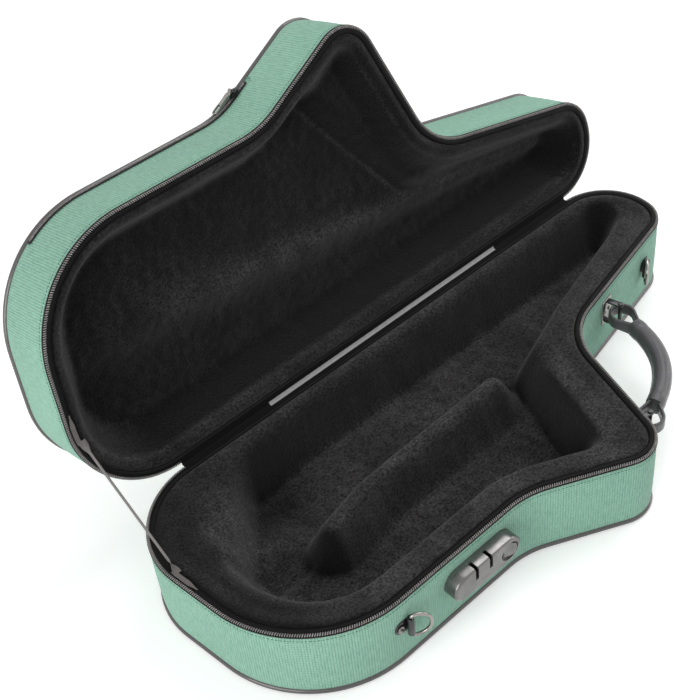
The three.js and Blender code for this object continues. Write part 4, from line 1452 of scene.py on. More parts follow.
@dataclass
class Rim:
    """The layers of one half's side wall: canvas, panel, piping, zip and facing."""

    half: Half
    tape_near: float = 3.7 * MM
    tape_far: float = 5.0 * MM
    cover_near: float = 5.4 * MM
    piping_radius: float = 2.8 * MM
    piping_inset: float = 1.1 * MM
    piping_lift: float = 2.8 * MM
    wall: float = 1.2 * MM
    coil_inset: float = 0.85 * MM
    coil_near: float = 2.35 * MM
    coil_radius: float = 1.15 * MM
    coil_wire: float = 0.46 * MM
    coil_pitch: float = 2.0 * MM
    stitch_pitch: float = 3.4 * MM
    coil_flatness: float = 0.95
    cord_radius: float = 0.8 * MM
    stitch: tuple[float, float, float] = (2.4 * MM / 2, 0.38 * MM, 0.3 * MM)
    stitch_below: float = 4.2 * MM
    stitch_proud: float = 0.05 * MM
    fullness: float = 0.55 * MM
    fullness_power: float = 0.7
    cover_turn: float = 0.5 * MM
    cover_steps: int = 8
    piping_sides: int = 14
    panel_inset: float = 4.2 * MM
    # Sections in mm: inset and distance from the outer face, inset and distance from the parting plane
    panel_section: tuple[Span, ...] = ((0, 1.4), (-0.5, 0.7), (1.2, 0.1), (8, 0))
    facing_section: tuple[Span, ...] = (
        (2.3, 3.4), (2.4, 1.7), (2.9, 1.15), (4.2, 1.0), (5.6, 1.1), (6.7, 1.7), (7.3, 2.8), (7.3, 3.4),
    )

    @property
    def height(self) -> float:
        """The depth of this half."""
        return SIZES.height(self.half)

    @property
    def cover_far(self) -> float:
        """Where the canvas wall ends, at the piping."""
        return self.height - self.piping_lift - self.piping_radius * 0.8

    def rings(self, section: list[Span]) -> list[np.ndarray]:
        """Rings round the case from a section of (inset, away) points."""
        return [placed(self.half, OUTLINE.loop(inset), away) for inset, away in section]

    def span_rings(self, section: list[Span]) -> tuple[list[np.ndarray], np.ndarray]:
        """Rings of the zip's stretch, which is open at the hinge.

        Args:
            section: its (inset, away) points.

        Returns:
            The rings, and how far along each station lies.
        """
        travels = OUTLINE.stretch(*self.zip_span())
        return [placed(self.half, OUTLINE.places(travels, inset), away) for inset, away in section], travels

    def zip_span(self) -> Span:
        """Travel of the zip's two ends."""
        hinge_start = OUTLINE.corner_travel(NECK_BACK, 1)
        return -SIZES.zip_park, hinge_start + SIZES.zip_park

    def _full(self, share: float) -> float:
        """How far the canvas wall stands out at a share of its height."""
        return self.fullness * math.sin(math.pi * share) ** self.fullness_power

    def cover(self) -> None:
        """The canvas wall, a little full between the zip and the piping."""
        near, far, steps = self.cover_near, self.cover_far, self.cover_steps
        section = []
        for step in range(steps + 1):
            share = step / steps
            turn_in = self.cover_turn if step in (0, steps) else 0
            section.append((turn_in - self._full(share), near + (far - near) * share))
        section += [(self.wall, far), (self.wall, near)]
        obj = grown(self.half.piece("canvas_wall"), self.rings(section))
        settle(obj, CANVAS, self.half.value, self.half.piece("cover"))
        self.half.piece("shell")

    def panel(self) -> None:
        """The flat canvas of the outer face."""
        section = [(self.panel_inset + inset * MM, self.height - low * MM)
                   for inset, low in self.panel_section]
        obj = filled(grown(self.half.piece("canvas_panel"), self.rings(section), section_closed=False))
        back = SIZES.matrix(self.half).inverted()
        sheet = obj.data.uv_layers["UVMap"]
        for corner in obj.data.loops:
            sheet.data[corner.index].uv = (back @ obj.data.vertices[corner.vertex_index].co).xy
        settle(obj, CANVAS, self.half.value, self.half.piece("panel"))
        edge = OUTLINE.loop(self.panel_inset)
        self.half.piece("shell")

    def piping(self) -> None:
        """The round piping between wall and outer face."""
        middle = self.height - self.piping_lift
        section = [(self.piping_inset + self.piping_radius * math.cos(angle),
                    middle + self.piping_radius * math.sin(angle)) for angle in turn_round(self.piping_sides)]
        obj = grown(self.half.piece("round_piping"), self.rings(section))
        settle(obj, PIPING, self.half.value, self.half.piece("piping"), angle=60)

    def facing(self) -> None:
        """The smooth facing on the rim, inside the zip."""
        section = [(inset * MM, away * MM) for inset, away in self.facing_section]
        obj = grown(self.half.piece("rim_facing"), self.rings(section))
        settle(obj, BAND, self.half.value, self.half.piece("rim_band"), angle=60)

    def tape(self) -> None:
        """The woven tape that carries the coil."""
        near, far = self.tape_near, self.tape_far
        rings, travels = self.span_rings([
            (-0.8 * MM, near), (1.2 * MM, near), (1.2 * MM, far), (-0.6 * MM, far),
            (-0.9 * MM, near + 0.6 * MM),
        ])
        obj = grown(self.half.piece("woven_tape"), rings, loop_closed=False, travel=travels)
        settle(obj, TAPE, self.half.value, self.half.piece("zip_tape"))

    def coil(self) -> None:
        """The zip's coil, wound round its cord."""
        travels, angle = winding(*self.zip_span(), self.coil_pitch)
        inset = self.coil_inset + self.coil_radius * np.cos(angle)
        away = self.coil_near + self.coil_radius * self.coil_flatness * np.sin(angle)
        points = placed(self.half, OUTLINE.places(travels, inset), away)
        coil = wire(self.half.piece("coil_winding"), points, self.coil_wire, sides=4)
        rings, stations = self.span_rings([
            (self.coil_inset + self.cord_radius * math.cos(angle),
             self.coil_near + self.cord_radius * math.sin(angle)) for angle in turn_round(6)
        ])
        cord = grown(self.half.piece("coil_cord"), rings, loop_closed=False, travel=stations)
        settle(cord, TAPE, self.half.value, angle=60)
        settle(coil, COIL, self.half.value, self.half.piece("zip_coil"), angle=60)

    def stitches(self) -> None:
        """The row of stitches below the zip, all the way round its stretch but behind the hinge."""
        end = OUTLINE.corner_travel(NECK_BACK, 1)
        proud = self._full(self.stitch_below / (self.cover_far - self.cover_near)) + self.stitch_proud
        count = round(end / self.stitch_pitch)
        places = [frame_at(self.half, end * (i + 0.5) / count, self.cover_near + self.stitch_below, proud)
                  for i in range(count)]
        row = stitched(self.half.piece("zip_stitches"), self.stitch, places, 6, 4)
        settle(row, SEAM, self.half.value, angle=60)

    def build(self) -> None:
        """Builds and dresses every layer."""
        self.cover()
        self.panel()
        self.piping()
        self.facing()
        self.tape()
        self.coil()
        self.stitches()


# Cloth over the hinge, and the ribbon that stops the lid


@dataclass
class HingeCloth:
    """Webbing inside the hinge and a canvas gusset outside it, each one piece shaped round the hinge line."""

    strip_shares: Span = (0.286, 0.75)
    binding_width: float = 6.3 * MM
    binding_radius: float = 0.62 * MM
    webbing_width: float = 2.3 * MM
    webbing_radius: float = 0.24 * MM
    inside_thickness: float = 0.3 * MM
    gusset_reach: float = 75 * MM
    gusset_width: float = 14 * MM
    gusset_near: float = 1.05 * MM
    gusset_back: float = 0.4 * MM
    thickness: float = 0.6 * MM
    station_step: float = 9 * MM
    arc_steps: int = 8

    @property
    def ends(self) -> Span:
        """The two ends of the case's straight back, in X."""
        return OUTLINE.arc(BOW_BACK)[0][0], OUTLINE.arc(NECK_BACK)[-1][0]

    def _leaf(self, angle: float, back: float, away: float) -> np.ndarray:
        """A place in the hinge's section, from one half's own directions."""
        along = np.array([math.cos(angle), math.sin(angle)])
        outwards = np.array([-math.sin(angle), math.cos(angle)])
        return back * along + away * outwards

    def _sweep(self, name: str, path: list[np.ndarray], span: Span, thickness: float) -> Mesh:
        """A cloth of one thickness along a section path.

        Args:
            name: the piece's name.
            path: places of the section, from one edge to the other.
            span: its two ends in X.
            thickness: its thickness.

        Returns:
            The piece.
        """
        points = np.array(path)
        tangents = unit(np.gradient(points, axis=0))
        normals = np.stack([-tangents[:, 1], tangents[:, 0]], axis=1) * thickness / 2
        xs = np.linspace(*span, math.ceil((span[1] - span[0]) / self.station_step) + 1)
        rings = [np.stack(np.broadcast_arrays(xs, SIZES.hinge_line + across, SIZES.base_height + up), axis=1)
                 for across, up in np.concatenate([points + normals, (points - normals)[::-1]])]
        return smooth(grown(name, rings, loop_closed=False, travel=xs - xs[0]), 50)

    def _arc(self, radius: float, first: float, last: float, steps: range) -> list[np.ndarray]:
        """Places round the hinge line, at some of the steps from one angle to another."""
        angles = [first + (last - first) * step / self.arc_steps for step in steps]
        return [radius * np.array([math.cos(angle), math.sin(angle)]) for angle in angles]

    def _fold(self, obj: Mesh) -> None:
        """Bakes a cloth's place into its mesh."""
        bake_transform(obj)
        LOG.info("%s turns with the lid", obj.name)

    def _inside(self, name: str, finish: Finish, width: float, radius: float,
                span: Span) -> tuple[Mesh, float]:
        """A cloth folded along the hinge line, on the rims of both halves.

        Args:
            name: the piece's name.
            finish: its finish.
            width: how far it reaches on each rim.
            radius: how far its middle lies from the parting planes.
            span: its two ends in X.

        Returns:
            The piece, and its width laid flat.
        """
        lid = -SIZES.opening
        path = [np.array([-width * (1 - s), -radius]) for s in np.linspace(0, 0.96, 7)]
        path += self._arc(radius, -RIGHT, RIGHT - SIZES.opening, range(self.arc_steps + 1))
        path += [self._leaf(lid, -width * s, radius) for s in np.linspace(0.04, 1, 7)]
        obj = dress(self._sweep(name, path, span, self.inside_thickness), finish)
        self._fold(obj)
        return obj, 2 * width + radius * (math.pi - SIZES.opening)

    def strip(self) -> None:
        """The black binding between the halves, and the grey webbing on its middle."""
        ends = self.ends
        binding, width = self._inside("hinge_binding", BAND, self.binding_width, self.binding_radius, ends)
        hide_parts("base_hinge_strip", "lid_hinge_strip")
        span = tuple((s - 0.5) * SIZES.length for s in self.strip_shares)
        self._inside("hinge_webbing", WEBBING, self.webbing_width, self.webbing_radius, span)

    def gusset(self) -> None:
        """The canvas behind the hinge, between the zip's two ends."""
        back, near, width = self.gusset_back, self.gusset_near, self.gusset_width
        reach = math.hypot(back, near)
        start, end = np.array([-back, -near]), self._leaf(-SIZES.opening, -back, near)
        first, last = math.atan2(start[1], start[0]), math.atan2(end[1], end[0])
        path = [np.array([-back, -a]) for a in np.linspace(width, near, 6)]
        path += self._arc(reach, first, last, range(1, self.arc_steps))
        path += [self._leaf(-SIZES.opening, -back, a) for a in np.linspace(near, width, 6)]
        span = (self.ends[0] + self.gusset_reach, self.ends[1] - self.gusset_reach)
        obj = dress(self._sweep("hinge_canvas", path, span, self.thickness), CANVAS)
        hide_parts("base_hinge_gusset", "lid_hinge_gusset")
        self._fold(obj)

    def build(self) -> None:
        """Builds both cloths."""
        self.strip()
        self.gusset()


@dataclass
class LidStay:
    """The ribbon at the bow end that stops the lid, and its two sewn tongues along the rims."""

    width: float = 7 * MM
    thickness: float = 0.7 * MM
    turn_share: float = 0.1
    steps: int = 44
    section: tuple[Span, ...] = (
        (-1, -0.6), (-0.9, -1), (0, -1), (0.9, -1), (1, -0.6),
        (1, 0.6), (0.9, 1), (0, 1), (-0.9, 1), (-1, 0.6),
    )
    tongue_length: float = 30 * MM
    tongue_taper: float = 10 * MM
    tongue_start: float = 5 * MM
    tongue_near: float = 3.0 * MM
    tongue_far: float = 7.0 * MM
    lift: float = 0.15 * MM

    def _twist(self, share: float) -> float:
        """How far the ribbon has turned at a share of its length."""
        first, last = fall(np.array([share, share - 1 + self.turn_share]), self.turn_share)
        return RIGHT * float(first + last)

    def ribbon(self) -> None:
        """The taut ribbon, flat at its ends and on edge between them."""
        start, end = (node_middle(f"stay_tab_{half.value}") for half in Half)
        run = (end - start).normalized()
        flat = Vector((-1, 0, 0))
        flat = (flat - run * flat.dot(run)).normalized()
        sections = []
        for step in range(self.steps + 1):
            share = step / self.steps
            side = Matrix.Rotation(self._twist(share), 3, run) @ flat
            across, through = side * self.width / 2, run.cross(side) * self.thickness / 2
            centre = start.lerp(end, share)
            sections.append(np.array([centre + across * a + through * t for a, t in self.section]))
        obj = dress(tube("stay_band", sections), RIBBON)
        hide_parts("lid_stay")
        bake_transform(obj)
        LOG.info("%s folds with the lid", obj.name)

    def tongue(self, half: Half) -> None:
        """The end of the ribbon that is sewn down along one half's rim."""
        node = f"stay_tab_{half.value}"
        travel = OUTLINE.nearest_travel(np.array((SIZES.matrix(half).inverted() @ node_middle(node)).xy))
        travels = np.linspace(travel - self.tongue_start, travel + self.tongue_length - self.tongue_start, 13)
        taper = np.clip((travels[-1] - travels) / self.tongue_taper, 0.25, 1)
        near, far, low, high = self.tongue_near, self.tongue_far, self.lift, self.lift + self.thickness
        middle = (near + far) / 2
        rings = [placed(half, OUTLINE.places(travels, middle + (inset - middle) * taper), away)
                 for inset, away in ((near, low), (far, low), (far, high), (near, high))]
        obj = grown(half.piece("stay_tongue"), rings, loop_closed=False, travel=travels)
        settle(obj, RIBBON, half.value, node)

    def build(self) -> None:
        """Builds the ribbon and both tongues."""
        self.ribbon()
        for half in Half:
            self.tongue(half)


# The handle


@dataclass
class Handle:
    """Padded grip, its two leather loops, and the brackets whose pins carry them."""

    drop: float = 32 * MM
    neck_share: float = 0.25
    bell_share: float = 0.23
    plate: tuple[float, float, float] = (17 * MM, 29 * MM, 1.4 * MM)
    ear_width: float = 6.4 * MM
    ear_thickness: float = 1.8 * MM
    ear_gap: float = 24 * MM
    pin_radius: float = 2 * MM
    pin_out: float = 15.8 * MM
    loop_radius: float = 11.8 * MM
    loop_shift: float = 3.4 * MM
    strap_thickness: float = 3.0 * MM
    strap_width: float = 12.4 * MM
    strap_flare: float = 2.6 * MM
    grip_width: float = 21 * MM
    grip_depth: float = 18.2 * MM
    grip_start: float = 19 * MM
    neck_rise: float = 11 * MM
    bell_rise: float = 8 * MM
    grip_apex: float = 25 * MM
    grip_nudge: float = 0.5 * MM
    grip_steps: int = 60
    grip_sides: int = 32

    def frames(self) -> dict[End, Matrix]:
        """The wall frames of the two brackets."""
        places = {End.NECK: (WAIST, self.neck_share), End.BELL: (BELL_TIP, self.bell_share)}
        return {end: frame_at(Half.BASE, OUTLINE.wall_travel(*place), self.drop)
                for end, place in places.items()}

    def frame(self) -> tuple[Matrix, float]:
        """The handle's frame at the neck pin, X to the bell pin and Y off the case, and the span."""
        frames = self.frames()
        neck = frames[End.NECK] @ Vector((0, 0, self.pin_out))
        bell = frames[End.BELL] @ Vector((0, 0, self.pin_out))
        along = (bell - neck).normalized()
        up = Vector((0, 0, 1))
        matrix = Matrix((along, up.cross(along), up)).transposed().to_4x4()
        return shift(*neck) @ matrix, (bell - neck).length

    def bracket(self, end: End, matrix: Matrix) -> None:
        """A riveted plate with two ears and the pin between them."""
        width, height, thickness = self.plate
        half, top, upright = self.ear_thickness / 2, SIZES.seat + thickness, turned(RIGHT, "X")
        plate = [cube((width, height, thickness), (0, 0, SIZES.seat + thickness / 2), 0.7 * MM)]
        pin = disc(self.pin_radius, -self.ear_gap / 2 - 1 * MM, self.ear_gap / 2 + 1 * MM, sides=32)
        parts = [set_at(pin, shift(z=self.pin_out) @ upright)]
        for side in (-1, 1):
            place = side * (self.ear_gap + self.ear_thickness) / 2
            length = 2 * (self.pin_out - SIZES.seat) + self.ear_width
            ear = stadium(length, self.ear_width, -half, half, 0.4 * MM, 2)
            set_at(ear, shift(0, place, SIZES.seat) @ upright @ turned(RIGHT, "Z"))
            with editing(ear):
                bpy.ops.mesh.bisect(plane_co=(0, 0, top), plane_no=(0, 0, 1), clear_inner=True, use_fill=True)
            head = disc(self.pin_radius * 1.3, -0.9 * MM, 0.9 * MM, bevel=0.6 * MM, sides=24)
            set_at(head, shift(0, place + side * (half + 0.6 * MM), self.pin_out) @ upright)
            parts += [ear, head]
            rivet = (side * width * 0.28, 0)
            plate.append(disc(2.4 * MM, top - 0.5 * MM, top + 1.1 * MM, rivet, 0.8 * MM, 28))
        fitted(f"bracket_{end.value}", plate, matrix, STEEL, "base", f"handle_bracket_{end.value}")
        fitted(f"bracket_pin_{end.value}", parts, matrix, BLACK, "base")

    def loop(self, end: End, matrix: Matrix, rise: float, facing: int) -> None:
        """A leather strap round a pin, both of its ends held in the grip.

        Args:
            end: which loop.
            matrix: the handle's frame at its pin.
            rise: how far out the grip starts.
            facing: 1 if the grip lies towards +X, or -1.
        """
        reach = math.hypot(self.grip_start, rise) + 5 * MM
        half_gap = self.strap_thickness / 2 + 0.15 * MM
        distance = math.hypot(reach - self.loop_shift, half_gap)
        touch = math.atan2(half_gap, reach - self.loop_shift) + math.acos(self.loop_radius / distance)
        angles = np.linspace(touch, 2 * math.pi - touch, 30)
        arc = np.stack([np.cos(angles), np.sin(angles)], axis=1) * self.loop_radius + (self.loop_shift, 0)
        shares = np.linspace(0, 1, 9)[:-1, None]
        lead = np.array([[reach, half_gap]]) * (1 - shares) + arc[:1] * shares
        tail = arc[-1:] * shares[::-1] + np.array([[reach, -half_gap]]) * (1 - shares[::-1])
        path = np.concatenate([lead, arc, tail])
        place = matrix @ turned(math.atan2(rise, facing * self.grip_start), "Z")
        sections = []
        for spot, along in zip(path, unit(np.gradient(path, axis=0))):
            side = Vector((-along[1], along[0], 0)) * (self.strap_thickness / 2)
            wide = self.strap_width / 2 + self.strap_flare * float(fall(spot[0] - 9 * MM, 16 * MM)) / 2
            sections.append(np.array([place @ (Vector((*spot, z * wide)) + side * x) for x, z in ROUND_BAR]))
        obj = tube(f"loop_{end.value}", sections)
        settle(obj, LEATHER, "handle", f"handle_loop_{end.value}")
        self._loop_stitches(end, place, reach, half_gap)

    def _loop_stitches(self, end: End, matrix: Matrix, reach: float, half_gap: float) -> None:
        """Two short rows of stitches where the strap's ends meet."""
        places = []
        for number in range(4):
            x = reach - 9.6 * MM - number * 2.4 * MM
            height = half_gap + self.strap_thickness / 2 + (reach - x) * 0.32
            places += [matrix @ shift(x, side * height, row * self.strap_width * 0.36)
                       for row in (-1, 1) for side in (-1, 1)]
        stitches = stitched(f"loop_stitches_{end.value}", (1.0 * MM, 0.45 * MM, 0.35 * MM), places)
        settle(stitches, THREAD, "handle", angle=60)

    def grip(self, matrix: Matrix, span: float) -> None:
        """The stuffed crescent, a little fuller in its middle, with a cuff at each end."""
        start = np.array([self.grip_start, self.neck_rise])
        peak = np.array([span / 2, 2 * self.grip_apex - (self.neck_rise + self.bell_rise) / 2])
        end = np.array([span - self.grip_start, self.bell_rise])
        sections = []
        for share in np.concatenate([[0, 0], np.linspace(0, 1, self.grip_steps + 1), [1, 1]]):
            spot = (1 - share) ** 2 * start + 2 * share * (1 - share) * peak + share**2 * end
            along = unit(2 * (1 - share) * (peak - start) + 2 * share * (end - peak))
            full = 0.86 + 0.14 * math.sin(math.pi * share) ** 0.55
            cuff = 0.05 * (1 - float(fall(min(share, 1 - share) - 0.075, 0.012)))
            sections.append((spot, np.array([-along[1], along[0]]), full + cuff))
        rings = []
        for number, (spot, out, full) in enumerate(sections):
            inner = min(number, len(sections) - 1 - number)
            full *= (0.84, 0.95, 1.0)[min(inner, 2)]
            ring = []
            for angle in turn_round(self.grip_sides):
                across, up = (math.copysign(abs(wave) ** 0.85, wave) * size / 2 * full for wave, size in (
                    (math.cos(angle), self.grip_depth), (math.sin(angle), self.grip_width)))
                ring.append(matrix @ Vector((*(spot + out * across), up)))
            rings.append(np.array(ring))
        for number, share in ((0, -1), (1, -0.5), (-1, 1), (-2, 0.5)):
            towards = rings[3] - rings[2] if share < 0 else rings[-3] - rings[-4]
            length = np.linalg.norm(towards, axis=1).mean()
            rings[number] = rings[number] + towards / length * self.grip_nudge * share
        obj = tube("grip_leather", rings)
        settle(obj, LEATHER, "handle", "handle_grip", angle=45)
        self._grip_seam(matrix, sections)

    def _grip_seam(self, matrix: Matrix, sections: list) -> None:
        """The stitched seam along the inside of the grip."""
        places = []
        for spot, out, full in sections[4:-4]:
            inside = spot - out * (self.grip_depth / 2 * full + 0.1 * MM)
            places.append(matrix @ shift(*inside) @ turned(math.atan2(-out[0], out[1]), "Z"))
        settle(stitched("grip_seam", (0.95 * MM, 0.45 * MM, 0.5 * MM), places), THREAD, "handle", angle=60)

    def build(self) -> None:
        """Builds the handle and its brackets."""
        for end, matrix in self.frames().items():
            self.bracket(end, matrix)
        matrix, span = self.frame()
        self.loop(End.NECK, matrix, self.neck_rise, 1)
        self.loop(End.BELL, matrix @ shift(span), self.bell_rise, -1)
        self.grip(matrix, span)


# Rings for a shoulder strap


@dataclass
class RingHolder:
    """A D-ring in a rolled clip beside a riveted plate."""

    end: End
    facing: int
    travel: float
    drop: float = 36 * MM
    plate_width: float = 17 * MM
    plate_height: float = 15 * MM
    plate_thickness: float = 1.2 * MM
    rivet_radius: float = 4 * MM
    clip_radius: float = 3.4 * MM
    clip_height: float = 22 * MM
    wire_radius: float = 1.65 * MM
    ring_height: float = 27 * MM
    ring_reach: float = 17 * MM
    near_round: float = 3 * MM
    far_round: float = 12.5 * MM
    swing: float = math.radians(30)

    def _plate(self, matrix: Matrix) -> None:
        """The rounded plate under the rivet."""
        reach = self.plate_width - 2 * self.clip_radius
        top = SIZES.seat + self.plate_thickness
        plate = stadium(self.plate_width + 1 * MM, self.plate_height, SIZES.seat, top, 0.45 * MM, 3)
        set_at(plate, shift(-self.facing * reach / 2))
        fitted(f"holder_plate_{self.end.value}", [plate], matrix, BLACK, "base",
               f"ring_plate_{self.end.value}")

    def _rivet(self, matrix: Matrix) -> None:
        """A domed hollow rivet."""
        place = -self.facing * (self.plate_width - self.clip_radius - self.rivet_radius - 1.2 * MM)
        low = SIZES.seat + self.plate_thickness + 0.1 * MM
        rivet = disc(self.rivet_radius, low, low + 1.7 * MM, (place, 0), 1.0 * MM, 40)
        boolean(rivet, disc(1.1 * MM, low + 0.6 * MM, low + 4 * MM, (place, 0), sides=24))
        fitted(f"holder_rivet_{self.end.value}", [rivet], matrix, STEEL, "base",
               f"ring_rivet_{self.end.value}")

    def _clip(self, matrix: Matrix) -> None:
        """The rolled clip, open along the side where the ring leaves it."""
        shell = disc(self.clip_radius, -self.clip_height / 2, self.clip_height / 2, bevel=0.7 * MM, sides=48)
        boolean(shell, disc(self.wire_radius + 0.5 * MM, -self.clip_height, self.clip_height, sides=32))
        slot = cube((8 * MM, 4.4 * MM, 3 * self.clip_height), (5.2 * MM, 0, 0))
        boolean(shell, set_at(slot, turned(self.swing + math.radians(8), "Z")))
        mirror = Matrix.Diagonal((self.facing, 1, 1, 1))
        place = matrix @ mirror @ turned(math.pi, "X") @ turned(-RIGHT, "X")
        fitted(f"holder_clip_{self.end.value}", [shell], place, BLACK, "base", f"ring_clip_{self.end.value}")

    def _ring(self, matrix: Matrix) -> None:
        """The D-ring, its straight side in the clip."""
        half = self.ring_height / 2
        near, far = self.near_round, self.ring_reach - self.far_round
        points = []
        for start, centre, radius in (
            (180, (near, -half + near), self.near_round),
            (270, (far, -half + self.far_round), self.far_round),
            (0, (far, half - self.far_round), self.far_round),
            (90, (near, half - near), self.near_round),
        ):
            for angle in np.radians(np.linspace(start, start + 90, 13)):
                points.append([centre[0] + radius * math.cos(angle), centre[1] + radius * math.sin(angle), 0])
        ring = wire(f"shoulder_ring_{self.end.value}", np.array(points), self.wire_radius, 16, cyclic=True)
        place = matrix @ turned(-self.swing if self.facing > 0 else self.swing - math.pi, "Y")
        fitted(f"shoulder_ring_{self.end.value}", [ring], place, STEEL, f"ring_{self.end.value}",
               f"strap_ring_{self.end.value}", angle=60)

    def build(self) -> None:
        """Builds the holder and its ring."""
        wall = frame_at(Half.BASE, self.travel, self.drop)
        self._plate(wall)
        self._rivet(wall)
        hinge = wall @ shift(z=2 * SIZES.seat + self.plate_thickness + self.clip_radius)
        self._clip(hinge)
        self._ring(hinge)


# The lock


@dataclass
class Lock:
    """A rounded case with two notches for the zip pulls, and the button that frees them."""

    drop: float = 34 * MM
    length: float = 80 * MM
    height: float = 28 * MM
    depth: float = 14 * MM
    wall: float = 2.2 * MM
    bevel: float = 2.4 * MM
    edge: float = 1.1 * MM
    notch_width: float = 3.6 * MM
    notch_depth: float = 14 * MM
    notch_floor: float = 5 * MM
    notch_places: Span = (-14 * MM, 3 * MM)
    button_radius: float = 8.5 * MM
    button_proud: float = 0.6 * MM
    button_clearance: float = 0.5 * MM
    flange: float = 1.4 * MM
    flange_thickness: float = 1.5 * MM
    stem_radius: float = 2 * MM
    stem_end: float = 4.6 * MM

    @property
    def start(self) -> float:
        """How far the lock starts along its wall."""
        return OUTLINE.wall_length(BOW_FRONT) - self.edge - self.length

    @property
    def button_place(self) -> float:
        """Where the button's middle lies along the lock."""
        return (self.length - self.height) / 2

    def casing(self, matrix: Matrix) -> None:
        """The moulded case: hollow, notched and bored for the button."""
        body = stadium(self.length, self.height, -self.bevel * 2, self.depth, self.bevel, 5)
        boolean(body, cube((2 * self.length, 2 * self.height, 20 * MM), (0, 0, SIZES.seat - 10 * MM)))
        inner = (self.length - 2 * self.wall, self.height - 2 * self.wall)
        boolean(body, stadium(*inner, -5 * MM, self.depth - self.wall))
        long = self.notch_depth + 5 * MM
        for place in self.notch_places:
            centre = (place, self.height / 2 - self.notch_depth + long / 2, self.notch_floor + self.depth / 2)
            boolean(body, cube((self.notch_width, long, self.depth), centre, 0.5 * MM, 2))
        bore = self.button_radius + self.button_clearance
        for radius, low in ((bore, self.depth - 2 * self.wall), (bore + 0.9 * MM, self.depth - 1.3 * MM)):
            boolean(body, disc(radius, low, self.depth + 5 * MM, (self.button_place, 0), sides=64))
        fitted("lock_case", [body], matrix, GRAPHITE, "base", "lock_body")

    def button(self, matrix: Matrix) -> None:
        """The round button with a scooped face and a ridge for the finger."""
        top, face = self.depth - self.wall - SIZES.seat, self.depth + self.button_proud
        body = disc(self.button_radius, top - 0.5 * MM, face, bevel=0.5 * MM, sides=64)
        scoop = disc(12 * MM, -20 * MM, 20 * MM, sides=96)
        boolean(body, set_at(scoop, shift(-2.6 * MM, 0, face + 9.7 * MM) @ turned(RIGHT, "X")))
        flange = disc(self.button_radius + self.flange, top - self.flange_thickness, top, sides=48)
        boolean(body, flange, "UNION")
        boolean(body, disc(self.stem_radius, self.stem_end, top - 0.4 * MM, sides=24), "UNION")
        set_at(body, shift(self.button_place))
        fitted("lock_push", [body], matrix, GRAPHITE, "button", "lock_button", angle=35)

    def build(self) -> None:
        """Builds the lock's outer pieces."""
        travel = OUTLINE.corner_travel(BOW_FRONT, 1) + self.start + self.length / 2
        matrix = frame_at(Half.BASE, travel, self.drop)
        self.casing(matrix)
        self.button(matrix)


# Zips' sliders, and the pocket's zip


@dataclass
class Slider:
    """A zip's slider with its bail, and the pull tab that hangs on it."""

    name: str
    matrix: Matrix
    turn: float
    nodes: tuple[str, str]
    bodies: tuple[str, str]
    length: float = 12 * MM
    width: float = 8 * MM
    height: float = 2.6 * MM
    bail_radius: float = 0.8 * MM
    bail_length: float = 7 * MM
    bail_bend: float = 1.6 * MM
    flank_radius: float = 30 * MM
    neck_half: float = 2.55 * MM
    bar_height: float = 4.9 * MM
    pull_length: float = 27 * MM
    pull_width: float = 7 * MM
    pull_thickness: float = 1.8 * MM
    slot_length: float = 9 * MM
    slot_width: float = 3.4 * MM
    slot_edge: float = 2.2 * MM
    eye_gap: float = 0.4 * MM
    eye_wall: float = 0.8 * MM

    def body(self) -> None:
        """Two plates with a waist between them, and the bail on top."""
        parts = [stadium(self.length * long, self.width * wide, low, high, *rounding)
                 for long, wide, low, high, *rounding in (
                     (1, 1, 0, 0.9 * MM, 0.35 * MM, 2),
                     (1, 1, self.height - 0.9 * MM, self.height, 0.35 * MM, 2),
                     (0.7, 0.6, 0.3 * MM, self.height - 0.3 * MM),
                     (0.62, 0.3, self.height - 0.3 * MM, self.height + 0.7 * MM, 0.3 * MM, 2))]
        half, bend = self.bail_length / 2, self.bail_bend
        points = [(-half, 0, self.height - 0.4 * MM), (-half, 0, self.bar_height - bend)]
        points += [(-half + bend * (1 - math.cos(a)), 0, self.bar_height - bend + bend * math.sin(a))
                   for a in np.linspace(0.3, RIGHT, 5)]
        points += [(-x, 0, z) for x, _, z in reversed(points)]
        bail = wire("bail", np.array(points), self.bail_radius, 10)
        parts.append(set_at(bail, turned(self.turn, "Z")))
        fitted(f"{self.name}_runner", parts, self.matrix, BLACK, self.bodies[0], self.nodes[0])

    def pull(self) -> None:
        """A long plated tab, its eye round the bail and a slot near its end."""
        eye, half = self.bail_radius + self.eye_gap, self.pull_thickness / 2
        plate = stadium(self.pull_length - eye, self.pull_width, -half, half, 0.55 * MM, 3)
        slot = stadium(self.slot_length, self.slot_width, -5 * MM, 5 * MM)
        boolean(plate, set_at(slot, shift((self.pull_length - self.slot_length) / 2 - self.slot_edge)))
        for side in (-1, 1):
            place = (-2 * MM, side * (self.flank_radius + self.neck_half))
            boolean(plate, disc(self.flank_radius, -5 * MM, 5 * MM, place, sides=160))
        set_at(plate, shift(y=-(self.pull_length + eye + self.eye_gap) / 2) @ turned(-RIGHT, "Z"))
        sleeve = self.bail_length - 2 * self.bail_radius - 2 * self.eye_gap
        roll = disc(eye + self.eye_wall, -sleeve / 2, sleeve / 2, bevel=0.3 * MM, sides=32)
        boolean(roll, disc(eye, -sleeve, sleeve, sides=24))
        set_at(roll, turned(RIGHT, "Y"))
        place = self.matrix @ (shift(z=self.bar_height) @ turned(self.turn, "Z"))
        fitted(f"{self.name}_tab", [plate, roll], place, STEEL, self.bodies[1], self.nodes[1])

    def build(self) -> None:
        """Builds both pieces."""
        self.body()
        self.pull()


